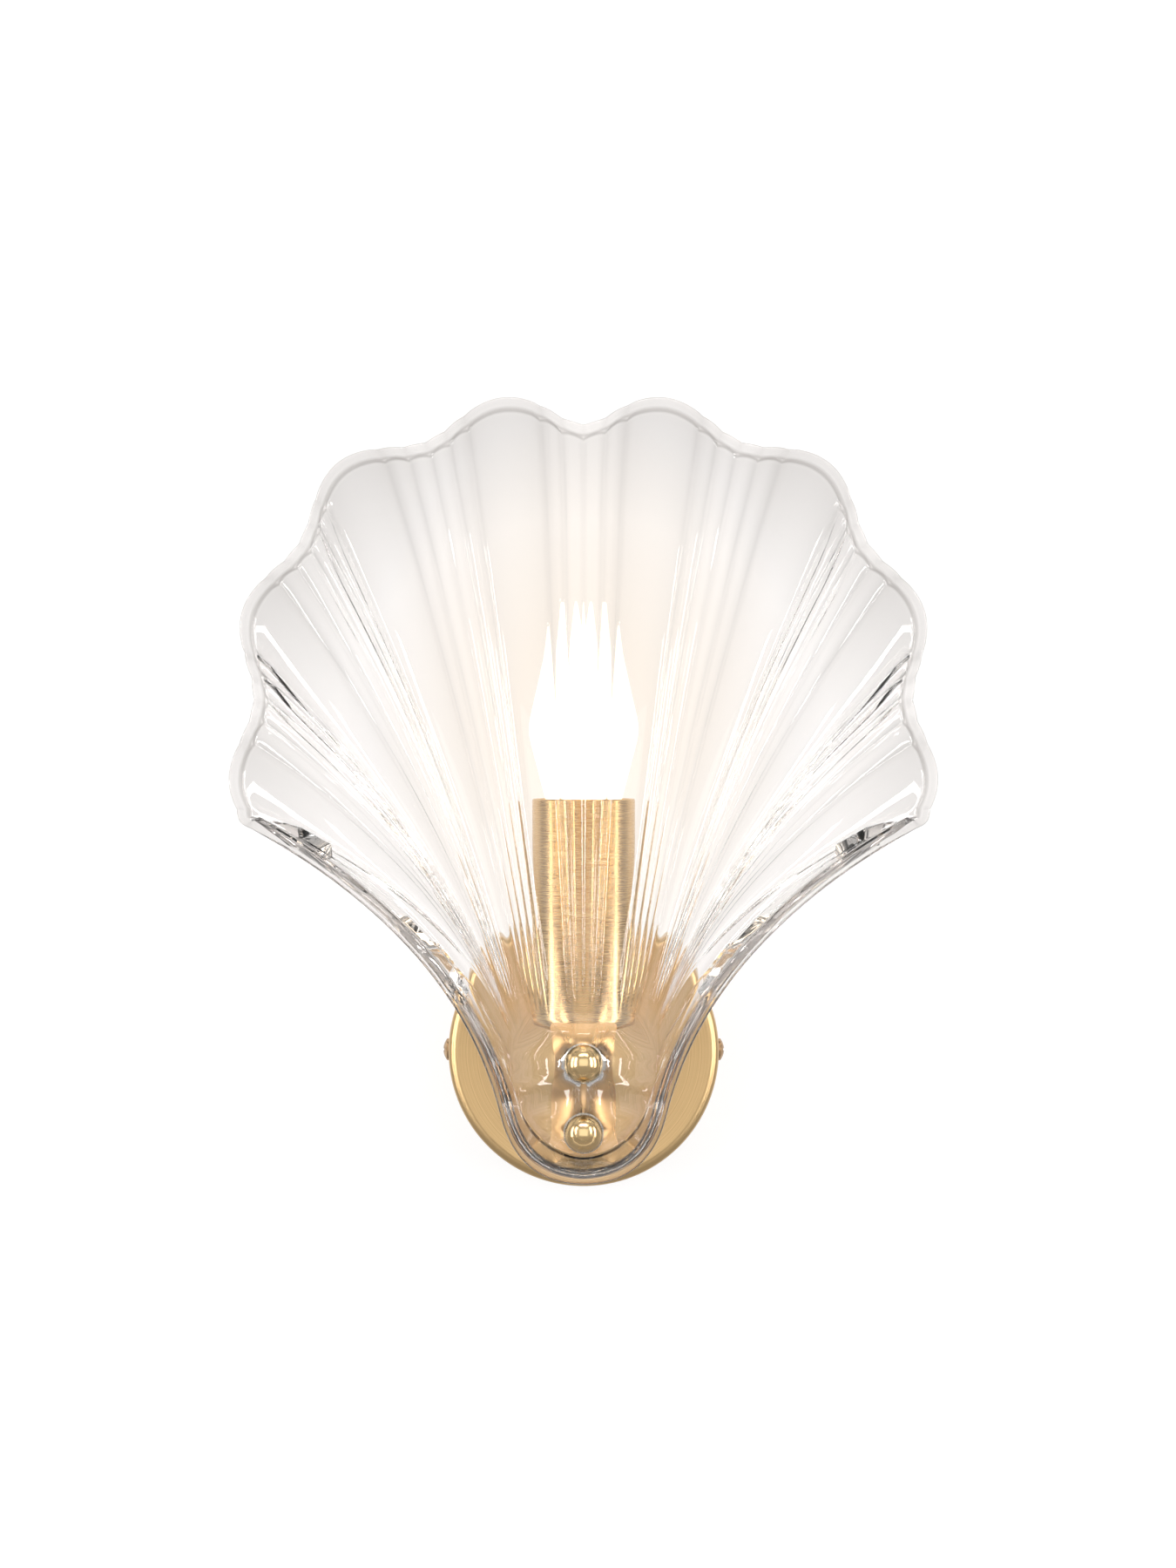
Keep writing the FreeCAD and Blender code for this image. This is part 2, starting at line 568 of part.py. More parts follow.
def lead(points):
    """Round lead along straight runs joined by tangent arcs, each as large as its two runs allow."""
    edges = []
    start = points[0]
    for before, corner, after in zip(points, points[1:], points[2:]):
        a = (before - corner).normalize()
        b = (after - corner).normalize()
        half_turn = (math.pi - a.getAngle(b)) / 2
        reach = 0.45 * min((corner - before).Length, (after - corner).Length)
        radius = reach / math.tan(half_turn)
        middle = (a + b).normalize()
        inset = radius / math.cos(half_turn) - radius
        enter = corner + a * reach
        leave = corner + b * reach
        edges.append(Part.LineSegment(start, enter).toShape())
        edges.append(Part.Arc(enter, corner + middle * inset, leave).toShape())
        start = leave
        print("lead bend radius %.1f mm" % radius)
    edges.append(Part.LineSegment(start, points[-1]).toShape())
    route = Part.Wire(edges)
    first = (points[1] - points[0]).normalize()
    circle = Part.Wire(Part.makeCircle(LEAD_R, points[0], first))
    return route.makePipeShell([circle], True, False)


def lamp_lead(side):
    """Lead from its terminal, through nipple and block, up into the lampholder's terminal chamber."""
    gap = side * (LEAD_R + 0.3)
    entry = HOLDER_BOTTOM + SOCKET_NIPPLE_RISE
    return lead([
        at(side * TERMINAL_X, LEAD_DEPTH, TERMINAL_LOW + 3),
        at(side * TERMINAL_X, LEAD_DEPTH, TERMINAL_LOW - 5),
        at(gap, LEAD_DEPTH - 8, 0),
        at(gap, LAMP_DEPTH, 0),
        at(gap, LAMP_DEPTH, entry),
        at(side * (TAB_X - 1.2 * LEAD_R), LAMP_DEPTH, entry + 9),
        at(side * (TAB_X - 1.2 * LEAD_R), LAMP_DEPTH, TAB_LOW + 3),
    ])


def earth_lead():
    """Green and yellow lead from the middle terminal round to the earth lug."""
    d = BRACKET_T + 1.7
    return lead([
        at(0, LEAD_DEPTH, TERMINAL_LOW + 3),
        at(0, LEAD_DEPTH, TERMINAL_LOW - 3.2),
        at(EARTH_SCREW_X, d, LUG_Z + 3.4),
        at(EARTH_SCREW_X, d, LUG_Z - 2.6),
    ])


# ---- glass shell -------------------------------------------------------------------------------------------
# The shell is drawn as a web of flute lines. Each runs from the edge of the flat seat to the rim, and the
# same lines carry the front and the back surface. Along the fan a station k counts from the middle: even k is
# the middle of a valley with four narrow flutes side by side, odd k the crest of a broad smooth lobe.

RIBS = 4
VALLEY_HALF = 0.54
LOBE_OFFSETS = (-0.34, -0.17, 0.0, 0.17, 0.34)
OUTER_LOBE = 7
BAND_STATIONS = 18
LEAN_STEP = 5.2
LEAN_MOST = 22.0
SEAT_CROWDING = 2.1
ROWS = (0.0, 0.03, 0.09, 0.2, 0.36, 0.54, 0.72, 0.86, 0.95, 1.0)


def seat_point(k):
    """Where flute k meets the straight top of the seat: evenly spread, then crowding into the corner."""
    x = SEAT_HALF_WIDTH * math.tanh(0.36 * k)
    z = SEAT_RISE * (1 - (x / SEAT_HALF_WIDTH) ** 4) ** 0.25
    return x, z


def fan_point(k):
    """Mean outline of the fan, a squared-off ellipse about the fan's centre."""
    a = math.radians(FAN_STEP_DEG * k)
    n = 2.4
    r = ((math.sin(a) / FAN_HALF_WIDTH) ** n + (abs(math.cos(a)) / FAN_RISE) ** n) ** (-1 / n)
    return r * math.sin(a), FAN_CENTRE_Z + r * math.cos(a)


def bend(p, q, r, t):
    """Point at t on the curve from p to r that leaves p and reaches r along the lines through q."""
    return tuple((1 - t) ** 2 * a + 2 * t * (1 - t) * b + t * t * c for a, b, c in zip(p, q, r))


def lip_point(s):
    """Outline below the fan: down the trumpet-shaped side, then round the foot of the seat."""
    share = 0.74
    if s < share:
        return bend(SIDE_TOP, SIDE_BEND, SIDE_FOOT, s / share)
    slope = (SIDE_FOOT[0] - SIDE_BEND[0]) / (SIDE_FOOT[1] - SIDE_BEND[1])
    corner = (SIDE_FOOT[0] + slope * (LIP_BOTTOM - SIDE_FOOT[1]), LIP_BOTTOM)
    return bend(SIDE_FOOT, corner, (0.0, LIP_BOTTOM), (s - share) / (1 - share))


def smooth(t):
    t = min(max(t, 0.0), 1.0)
    return t * t * (3 - 2 * t)


def half_stations():
    """Stations of the right half, fan's middle to the foot: (seat, rim, start angle, curl, lobe, flute)."""
    stations = []
    step = VALLEY_HALF / RIBS
    for centre in range(0, OUTER_LOBE + 1):
        if centre % 2:
            profile = [(offset, 0.0) for offset in LOBE_OFFSETS]
        else:
            steps = range(-RIBS, RIBS + 1)
            profile = [(i * step, 0.5 if i % 2 else -1.0) for i in steps]
        for offset, flute in profile:
            k = centre + offset
            if k > -0.001:
                dip = MIDDLE_DIP * math.cos(math.pi * min(k, 1) / 2) ** 2
                stations.append((k, -math.cos(math.pi * k) * (1 + dip), flute))
    flutes = []
    for k, lobe, flute in stations:
        start_angle = LEAN_MOST * math.tanh(LEAN_STEP * k / LEAN_MOST)
        flutes.append((seat_point(k), fan_point(k), start_angle, 1.0, lobe, flute))
    for j in range(BAND_STATIONS + 1):
        s = j / BAND_STATIONS
        a = math.radians(90 * s ** SEAT_CROWDING)
        seat = (SEAT_HALF_WIDTH * math.cos(a), -SEAT_DROP * math.sin(a))
        rim = lip_point(1 - (1 - s) ** 1.8)
        flutes.append((seat, rim, LEAN_MOST, 1 - smooth(s / 0.6), 0.0, 0.0))
    return flutes


def flute_line(seat, rim, start_angle, curl):
    """Corner of the flute's curve: it leaves the seat at its start angle and is straight where curl is 0."""
    length = math.hypot(rim[0] - seat[0], rim[1] - seat[1])
    a = math.radians(start_angle)
    curved = (seat[0] + 0.45 * length * math.sin(a), seat[1] + 0.45 * length * math.cos(a))
    straight = ((seat[0] + rim[0]) / 2, (seat[1] + rim[1]) / 2)
    return tuple(curl * c + (1 - curl) * s for c, s in zip(curved, straight)), length


def reach_of(z):
    """How far off the wall the rim stands at height z."""
    share = max((z - LIP_BOTTOM) / (FAN_CENTRE_Z + FAN_RISE - LIP_BOTTOM), 0.0)
    return LIP_REACH + (RIM_TOP_REACH - LIP_REACH) * share ** 0.6


def shell_lines():
    """Control points of every flute line, front and back of the glass, and the two edges of the rim."""
    half = half_stations()
    left = [((-s[0], s[1]), (-r[0], r[1]), -a, *shape) for s, r, a, *shape in reversed(half[1:-1])]
    ring = half + left
    count = len(ring)

    outward = []
    for i in range(count):
        ahead = ring[(i + 1) % count][1]
        behind = ring[i - 1][1]
        dx, dz = ahead[0] - behind[0], ahead[1] - behind[1]
        size = math.hypot(dx, dz)
        outward.append((-dz / size, dx / size))

    def edge_of(i, band):
        """Outline at line i, drawn in by the given width."""
        *_, lobe, flute = ring[i]
        offset = LOBE_OUTLINE * lobe + FLUTE_OUTLINE * flute - band
        return tuple(r + o * offset for r, o in zip(ring[i][1], outward[i]))

    def inside(i, v):
        """Point on the plain inside of the wall, v of the way from the seat to the foot of the rim."""
        i = i % count
        seat, rim, angle, curl, lobe, flute = ring[i]
        foot = edge_of(i, RIM_BAND)
        corner, length = flute_line(seat, foot, angle, curl)
        power = 1.7 + 2.3 * (1 - math.exp(-length / 70))
        x, z = bend(seat, corner, foot, v)
        return at(x, SEAT_FRONT + (reach_of(foot[1]) - SEAT_FRONT) * v ** power, z)

    front, back, near, far = [], [], [], []
    for i in range(count):
        out = V(outward[i][0], 0, outward[i][1])
        seat, *_, lobe, flute = ring[i]
        run_in = 0.06 + 0.2 * (seat[0] / SEAT_HALF_WIDTH) ** 4
        front_line, back_line = [], []
        for v in ROWS:
            here = inside(i, v)
            across = inside(i + 1, v) - inside(i - 1, v)
            along = inside(i, min(v + 0.01, 1.0)) - inside(i, max(v - 0.01, 0.0))
            normal = across.cross(along).normalize() if v else V(0, 1, 0)
            if normal.y < 0:
                normal = normal * -1
            thick = RIM_T + (SEAT_T - RIM_T) * ((1 - v) * normal.y) ** 2
            turn = smooth((v - 0.9) / 0.1)
            wall = normal * ((1 - turn) * thick) + (V(0, 1, 0) + out / 3) * (turn * RIM_T)
            swell = smooth(v / run_in) * (0.3 + 0.7 * v)
            relief = swell * (1 - smooth((v - 0.6) / 0.4)) * LOBE_RELIEF * lobe
            groove = swell * FLUTE_RELIEF * flute
            front_line.append(here + normal * (relief + groove))
            back_line.append(here + wall + normal * relief)
        x, z = edge_of(i, 0)
        reach = reach_of(edge_of(i, RIM_BAND)[1])
        near.append(at(x, reach, z))
        far.append(at(x, reach - RIM_T, z))
        front.append(front_line)
        back.append(back_line)
    return front, back, near, far


def strips(lines):
    """Skin over the lines: one strip from each line to the next, all round the seat."""
    spans = len(lines[0]) - 3
    mults = [4] + [1] * (spans - 1) + [4]
    knots = [i / spans for i in range(spans + 1)]
    skin = []
    for line, following in zip(lines, lines[1:] + lines[:1]):
        surface = Part.BSplineSurface()
        poles = [line, following]
        surface.buildFromPolesMultsKnots(poles, [2, 2], mults, [0, 1], knots, False, False, 1, 3)
        skin.append(surface.toShape())
    return skin


def flat_band(inner, outer):
    """Band of straight-sided faces between two closed rows of points."""
    band = []
    for i in range(len(inner)):
        surface = Part.BSplineSurface()
        corners = [[inner[i - 1], outer[i - 1]], [inner[i], outer[i]]]
        surface.buildFromPolesMultsKnots(corners, [2, 2], [2, 2], [0, 1], [0, 1], False, False, 1, 1)
        band.append(surface.toShape())
    return band


def glass_shell():
    """Pressed glass shell: a thick flat seat that flares into an eight-lobed fan and a curled lip."""
    front, back, near, far = shell_lines()
    faces = strips(front) + strips(back)
    rim = [[line[-1] for line in front], near, far, [line[-1] for line in back]]
    for inner, outer in zip(rim, rim[1:]):
        faces += flat_band(inner, outer)
    for lines in (front, back):
        seat_edge = [points[0] for points in lines]
        faces.append(face_of(polyline(seat_edge + seat_edge[:1])))
    skin = Part.makeShell(faces)
    skin.sewShape(1e-4)
    solid = Part.makeSolid(skin)
    if solid.Volume < 0:
        solid.reverse()
    for z in STUD_ZS:
        solid = solid.cut(rod(SEAT_HOLE_R, 0, z, SEAT_BACK - 2, SEAT_FRONT + 2))
    return solid


PARTS = {
    "glass_shell": glass_shell,
    "canopy": canopy,
    "wall_bracket": wall_bracket,
    "side_screw_left": lambda: side_screw(-1),
    "side_screw_right": lambda: side_screw(1),
    "arm_nipple": arm_nipple,
    "nipple_nut": nipple_nut,
    "lock_washer": lock_washer,
    "arm_block": arm_block,
    "lampholder_cup": lampholder_cup,
    "socket_nipple": socket_nipple,
    "lampholder_body": lampholder_body,
    "screw_shell": screw_shell,
    "centre_contact": centre_contact,
    "bulb_envelope": bulb_envelope,
    "light_engine": light_engine,
    "bulb_cap": bulb_cap,
    "bulb_insulator": bulb_insulator,
    "bulb_tip": bulb_tip,
    "glass_plate": glass_plate,
    "upper_stud": lambda: stud(STUD_ZS[0], 5.5),
    "lower_stud": lower_stud,
    "upper_sleeve": lambda: stud_sleeve(STUD_ZS[0]),
    "lower_sleeve": lambda: stud_sleeve(STUD_ZS[1]),
    "upper_rear_washer": lambda: washer(STUD_ZS[0], PLATE_FRONT, REAR_WASHER_T),
    "lower_rear_washer": lambda: washer(STUD_ZS[1], PLATE_FRONT, REAR_WASHER_T),
    "upper_front_washer": lambda: washer(STUD_ZS[0], WASHER_BACK, FRONT_WASHER_T),
    "lower_front_washer": lambda: washer(STUD_ZS[1], WASHER_BACK, FRONT_WASHER_T),
    "upper_knurled_nut": lambda: knurled_nut(STUD_ZS[0]),
    "lower_knurled_nut": lambda: knurled_nut(STUD_ZS[1]),
    "terminal_block": terminal_block,
    "terminal_screws": terminal_screws,
    "earth_screw": earth_screw,
    "earth_lug": earth_lug,
    "live_lead": lambda: lamp_lead(-1),
    "neutral_lead": lambda: lamp_lead(1),
    "earth_lead": earth_lead,
}

os.makedirs("parts", exist_ok=True)
for name, make in PARTS.items():
    shape = make()
    box_of = shape.BoundBox
    print("%-20s solids %d valid %s volume %.1f" % (name, len(shape.Solids), shape.isValid(), shape.Volume))
    print("    x %.1f..%.1f  y %.1f..%.1f  z %.1f..%.1f" % (
        box_of.XMin, box_of.XMax, box_of.YMin, box_of.YMax, box_of.ZMin, box_of.ZMax))
    shape.exportStep("parts/" + name + ".step")
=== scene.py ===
import math

import bmesh
import bpy
from mathutils import Matrix, Vector


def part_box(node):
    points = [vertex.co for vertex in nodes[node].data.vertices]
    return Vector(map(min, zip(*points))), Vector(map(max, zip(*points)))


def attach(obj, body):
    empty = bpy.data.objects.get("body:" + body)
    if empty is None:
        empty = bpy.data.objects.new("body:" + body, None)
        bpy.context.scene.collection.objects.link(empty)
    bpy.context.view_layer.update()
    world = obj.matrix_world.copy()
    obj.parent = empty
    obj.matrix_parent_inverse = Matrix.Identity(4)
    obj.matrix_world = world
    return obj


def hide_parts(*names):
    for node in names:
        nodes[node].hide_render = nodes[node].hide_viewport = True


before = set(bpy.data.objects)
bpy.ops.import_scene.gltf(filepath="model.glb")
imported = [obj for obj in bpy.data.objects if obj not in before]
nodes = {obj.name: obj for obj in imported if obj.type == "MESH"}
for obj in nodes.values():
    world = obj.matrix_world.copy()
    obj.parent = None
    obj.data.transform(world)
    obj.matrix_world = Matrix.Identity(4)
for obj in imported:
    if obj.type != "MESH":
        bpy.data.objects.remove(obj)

# The origin is the centre of the canopy on the wall, the front looks along -Y, and sizes are in metres.
for leftover in ("Cube", "Light", "Camera"):
    if leftover in bpy.data.objects:
        bpy.data.objects.remove(bpy.data.objects[leftover])
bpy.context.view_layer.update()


# ---- Wall bracket and earth screw
# A strap of zinc-plated steel, bent up at both ends, that is screwed to the wall behind the canopy.
# The earth screw and its tag are plated too. The plating is dull grey, with soft cloudy spangles.
def shader(name, colour, metallic=0.0, roughness=0.5, **more):
    """A new material and its surface shader, with plain values on the shader's own sockets."""
    made = bpy.data.materials.new(name)
    made.use_nodes = True
    surface = made.node_tree.nodes["Principled BSDF"]
    surface.inputs["Base Color"].default_value = (*colour, 1.0)
    surface.inputs["Metallic"].default_value = metallic
    surface.inputs["Roughness"].default_value = roughness
    for socket, value in more.items():
        surface.inputs[socket.replace("_", " ")].default_value = value
    return made, surface


def placed(made, centre=(0.0, 0.0, 0.0), stretch=(1.0, 1.0, 1.0)):
    """Object coordinates measured from a centre and stretched."""
    tree = made.node_tree
    source = tree.nodes.new("ShaderNodeTexCoord")
    mapping = tree.nodes.new("ShaderNodeMapping")
    mapping.inputs["Scale"].default_value = stretch
    mapping.inputs["Location"].default_value = [-c * s for c, s in zip(centre, stretch)]
    tree.links.new(source.outputs["Object"], mapping.inputs["Vector"])
    return mapping.outputs["Vector"]


def grain(made, where, scale, detail=3.0):
    """Cloudy noise, 0 to 1, on the given coordinates."""
    texture = made.node_tree.nodes.new("ShaderNodeTexNoise")
    texture.inputs["Scale"].default_value = scale
    texture.inputs["Detail"].default_value = detail
    made.node_tree.links.new(where, texture.inputs["Vector"])
    return texture.outputs["Fac"]


def ranged(made, source, low, high, start=0.3, end=0.7):
    """The source's span from start to end, spread over low to high."""
    spread = made.node_tree.nodes.new("ShaderNodeMapRange")
    spread.inputs["From Min"].default_value = start
    spread.inputs["From Max"].default_value = end
    spread.inputs["To Min"].default_value = low
    spread.inputs["To Max"].default_value = high
    made.node_tree.links.new(source, spread.inputs["Value"])
    return spread.outputs["Result"]


def two_tone(made, surface, share, dark, pale):
    """Base colour that runs from dark to pale with share."""
    mix = made.node_tree.nodes.new("ShaderNodeMix")
    mix.data_type = "RGBA"
    mix.inputs["A"].default_value = (*dark, 1.0)
    mix.inputs["B"].default_value = (*pale, 1.0)
    made.node_tree.links.new(share, mix.inputs["Factor"])
    made.node_tree.links.new(mix.outputs["Result"], surface.inputs["Base Color"])


def relief(made, surface, height, depth, strength=1.0):
    """Fine relief of the given depth in metres."""
    bump = made.node_tree.nodes.new("ShaderNodeBump")
    bump.inputs["Distance"].default_value = depth
    bump.inputs["Strength"].default_value = strength
    made.node_tree.links.new(height, bump.inputs["Height"])
    made.node_tree.links.new(bump.outputs["Normal"], surface.inputs["Normal"])


def dress(made, *names):
    """The material goes on these CAD nodes, in place of the plain one they came with."""
    for name in names:
        for socket in nodes[name].material_slots:
            socket.material = made


zinc, zinc_surface = shader("zinc_plate", (0.52, 0.53, 0.55), 1.0, 0.42)
zinc_cloud = grain(zinc, placed(zinc), 260.0)
two_tone(zinc, zinc_surface, ranged(zinc, zinc_cloud, 0.0, 1.0), (0.44, 0.45, 0.47), (0.62, 0.63, 0.65))
zinc.node_tree.links.new(ranged(zinc, zinc_cloud, 0.32, 0.5), zinc_surface.inputs["Roughness"])
dress(zinc, "wall_bracket", "earth_screw", "earth_lug", "nipple_nut", "lock_washer")


# ---- Canopy
# A round dish spun from sheet brass and brushed as it turned on the lathe, then clear-lacquered.
# The fine rings run round its centre, and its roughness changes a little from ring to ring.
BRASS_DARK = (0.60, 0.40, 0.185)
BRASS_PALE = (0.74, 0.52, 0.27)


def distance(made, where):
    """How far the given coordinates lie from their own centre."""
    reach = made.node_tree.nodes.new("ShaderNodeVectorMath")
    reach.operation = "LENGTH"
    made.node_tree.links.new(where, reach.inputs[0])
    return reach.outputs["Value"]


def ring_grain(made, axis_mask, centre, fineness):
    """Fine rings round an axis: noise that only changes with the distance from that axis."""
    texture = made.node_tree.nodes.new("ShaderNodeTexNoise")
    texture.noise_dimensions = "1D"
    texture.inputs["Scale"].default_value = fineness
    texture.inputs["Detail"].default_value = 2.0
    made.node_tree.links.new(distance(made, placed(made, centre, axis_mask)), texture.inputs["W"])
    return texture.outputs["Fac"]


def around(made, surface, axis, amount):
    """Highlights drawn out across the brushing round an axis."""
    tangent = made.node_tree.nodes.new("ShaderNodeTangent")
    tangent.direction_type = "RADIAL"
    tangent.axis = axis
    made.node_tree.links.new(tangent.outputs["Tangent"], surface.inputs["Tangent"])
    surface.inputs["Anisotropic"].default_value = amount


spun, spun_surface = shader("spun_brass", BRASS_PALE, 1.0, 0.36)
spun_rings = ring_grain(spun, (1.0, 0.0, 1.0), (0.0, 0.0, 0.0), 2600.0)
two_tone(spun, spun_surface, ranged(spun, spun_rings, 0.0, 1.0), BRASS_DARK, BRASS_PALE)
spun.node_tree.links.new(ranged(spun, spun_rings, 0.3, 0.42), spun_surface.inputs["Roughness"])
relief(spun, spun_surface, spun_rings, 0.00002)
around(spun, spun_surface, "Y", 0.5)
dress(spun, "canopy")


# ---- Side screws
# Two small pan-head screws with a cross recess, plated like the canopy, that hold it to the bracket's ears.
# The plating is brighter and browner than the brushed face, with a little cloudy soil all over.
screw_finish, screw_surface = shader("screw_plating", (0.50, 0.33, 0.17), 1.0, 0.25)
screw_wear = grain(screw_finish, placed(screw_finish), 700.0)
screw_soil = ranged(screw_finish, screw_wear, 0.0, 1.0)
two_tone(screw_finish, screw_surface, screw_soil, (0.36, 0.22, 0.11), (0.66, 0.45, 0.26))
dress(screw_finish, "side_screw_left", "side_screw_right")


# ---- Threaded nipples, arm block and lower stud
# The arm is a square block of turned brass on a hollow threaded nipple. It is brushed along its length.
# The threaded pieces are bright brass, with the thread as fine rings of relief.
block_brass, block_surface = shader("brushed_block_brass", BRASS_PALE, 1.0, 0.33)
block_grain = grain(block_brass, placed(block_brass, stretch=(1.0, 0.04, 1.0)), 3500.0, 2.0)
two_tone(block_brass, block_surface, ranged(block_brass, block_grain, 0.0, 1.0), BRASS_DARK, BRASS_PALE)
relief(block_brass, block_surface, block_grain, 0.00001)
dress(block_brass, "arm_block")


def threaded(name, axis_mask, pitch):
    """Bright brass with a thread: a wave of relief along the axis."""
    made, surface = shader(name, (0.70, 0.50, 0.24), 1.0, 0.24)
    wave = made.node_tree.nodes.new("ShaderNodeTexWave")
    wave.wave_profile = "TRI"
    made.node_tree.links.new(placed(made, stretch=axis_mask), wave.inputs["Vector"])
    wave.inputs["Scale"].default_value = 1.0 / (pitch * 3.0)
    wave.bands_direction = "DIAGONAL"
    relief(made, surface, wave.outputs["Fac"], 0.0002)
    return made


dress(threaded("thread_along_depth", (0.0, 1.0, 0.0), 0.001), "arm_nipple", "upper_stud", "lower_stud")
dress(threaded("thread_upright", (0.0, 0.0, 1.0), 0.001), "socket_nipple")


# ---- Wiring
# Two insulated leads run from a three-way terminal strip through the nipple to the lampholder, and an
# earth lead in green and yellow goes to the bracket. The strip is cream nylon with zinc-plated screws.
nylon, nylon_surface = shader("cream_nylon", (0.83, 0.80, 0.70), 0.0, 0.45, Specular_IOR_Level=0.4)
nylon_grain = grain(nylon, placed(nylon), 420.0)
two_tone(nylon, nylon_surface, ranged(nylon, nylon_grain, 0.0, 1.0), (0.78, 0.75, 0.64), (0.86, 0.83, 0.74))
relief(nylon, nylon_surface, nylon_grain, 0.00003)
dress(nylon, "terminal_block")
dress(zinc, "terminal_screws")


def sleeving(name, dark, pale):
    """Soft plastic sleeving with a faint extruded streak."""
    made, surface = shader(name, pale, 0.0, 0.5)
    streak = grain(made, placed(made), 900.0)
    two_tone(made, surface, ranged(made, streak, 0.0, 1.0), dark, pale)
    relief(made, surface, streak, 0.00002)
    return made


dress(sleeving("brown_sleeving", (0.10, 0.035, 0.012), (0.14, 0.05, 0.02)), "live_lead")
dress(sleeving("blue_sleeving", (0.02, 0.09, 0.32), (0.03, 0.13, 0.42)), "neutral_lead")

EARTH_STRIPE = 0.0016
earth, earth_surface = shader("earth_sleeving", (0.08, 0.33, 0.05), 0.0, 0.5)
stripes = earth.node_tree.nodes.new("ShaderNodeTexWave")
stripes.inputs["Scale"].default_value = 1.0 / (EARTH_STRIPE * 10.0)
earth.node_tree.links.new(placed(earth), stripes.inputs["Vector"])
striped = ranged(earth, stripes.outputs["Fac"], 0.0, 1.0, 0.48, 0.52)
two_tone(earth, earth_surface, striped, (0.04, 0.26, 0.04), (0.80, 0.68, 0.03))
dress(earth, "earth_lead")


# ---- Lampholder
# A moulded holder of white heat-proof plastic stands in the cup. It has a thin nickelled screw shell
# and a springy centre contact of tinned bronze.
moulding, moulding_surface = shader("white_moulding", (0.80, 0.79, 0.76), 0.0, 0.42)
moulding_grain = grain(moulding, placed(moulding), 300.0)
moulding_cloud = ranged(moulding, moulding_grain, 0.0, 1.0)
two_tone(moulding, moulding_surface, moulding_cloud, (0.75, 0.74, 0.71), (0.84, 0.83, 0.80))
relief(moulding, moulding_surface, moulding_grain, 0.00003)
dress(moulding, "lampholder_body")

nickel, nickel_surface = shader("nickel_plate", (0.66, 0.63, 0.58), 1.0, 0.22)
nickel_haze = grain(nickel, placed(nickel), 500.0)
nickel.node_tree.links.new(ranged(nickel, nickel_haze, 0.16, 0.3), nickel_surface.inputs["Roughness"])
dress(nickel, "screw_shell", "bulb_cap", "bulb_tip", "centre_contact")


# ---- Lampholder cup
# A tall cup drawn from sheet brass and brushed round its axis. It hides the lampholder, and its top edge
# stands just under the belly of the bulb.
cup_low, cup_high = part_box("lampholder_cup")
cup_axis_y = (cup_low.y + cup_high.y) / 2
cup_brass, cup_surface = shader("drawn_brass", BRASS_PALE, 1.0, 0.26)
cup_rings = grain(cup_brass, placed(cup_brass, (0.0, cup_axis_y, 0.0), (0.03, 0.03, 1.0)), 5200.0, 2.0)
two_tone(cup_brass, cup_surface, ranged(cup_brass, cup_rings, 0.0, 1.0), BRASS_DARK, BRASS_PALE)
cup_brass.node_tree.links.new(ranged(cup_brass, cup_rings, 0.2, 0.32), cup_surface.inputs["Roughness"])
relief(cup_brass, cup_surface, cup_rings, 0.00001)
dress(cup_brass, "lampholder_cup")


# ---- Candle bulb
# A lit candle bulb: an envelope of opal glass round a column of diodes, on a nickelled screw cap with a
# black glass insulator. The envelope glows warm white, most in its middle, and fades towards its tip.
BULB_WARM = (1.0, 0.90, 0.76)
BULB_STRENGTH = 2.2

bulb_low, bulb_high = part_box("bulb_envelope")
bulb_axis_y = (bulb_low.y + bulb_high.y) / 2
opal, opal_surface = shader("lit_opal_glass", (0.93, 0.90, 0.85), 0.0, 0.18, Coat_Weight=0.5)
opal_surface.inputs["Emission Color"].default_value = (*BULB_WARM, 1.0)
opal_height = opal.node_tree.nodes.new("ShaderNodeSeparateXYZ")
opal.node_tree.links.new(placed(opal), opal_height.inputs["Vector"])
glow_low = bulb_low.z + 0.4 * (bulb_high.z - bulb_low.z)
fade = ranged(opal, opal_height.outputs["Z"], BULB_STRENGTH, 0.5 * BULB_STRENGTH, glow_low, bulb_high.z)
opal.node_tree.links.new(fade, opal_surface.inputs["Emission Strength"])
dress(opal, "bulb_envelope")

diodes, diodes_surface = shader("diode_column", (0.92, 0.80, 0.42), 0.0, 0.35)
diodes_surface.inputs["Emission Color"].default_value = (*BULB_WARM, 1.0)
diode_dots = diodes.node_tree.nodes.new("ShaderNodeTexVoronoi")
diode_dots.inputs["Scale"].default_value = 380.0
diodes.node_tree.links.new(placed(diodes), diode_dots.inputs["Vector"])
diode_glow = ranged(diodes, diode_dots.outputs["Distance"], 6.0, 0.5, 0.0, 0.6)
diodes.node_tree.links.new(diode_glow, diodes_surface.inputs["Emission Strength"])
dress(diodes, "light_engine")

insulator, insulator_surface = shader("black_glass", (0.02, 0.018, 0.022), 0.0, 0.12)
insulator_haze = grain(insulator, placed(insulator), 400.0)
insulator_polish = ranged(insulator, insulator_haze, 0.08, 0.2)
insulator.node_tree.links.new(insulator_polish, insulator_surface.inputs["Roughness"])
dress(insulator, "bulb_insulator")


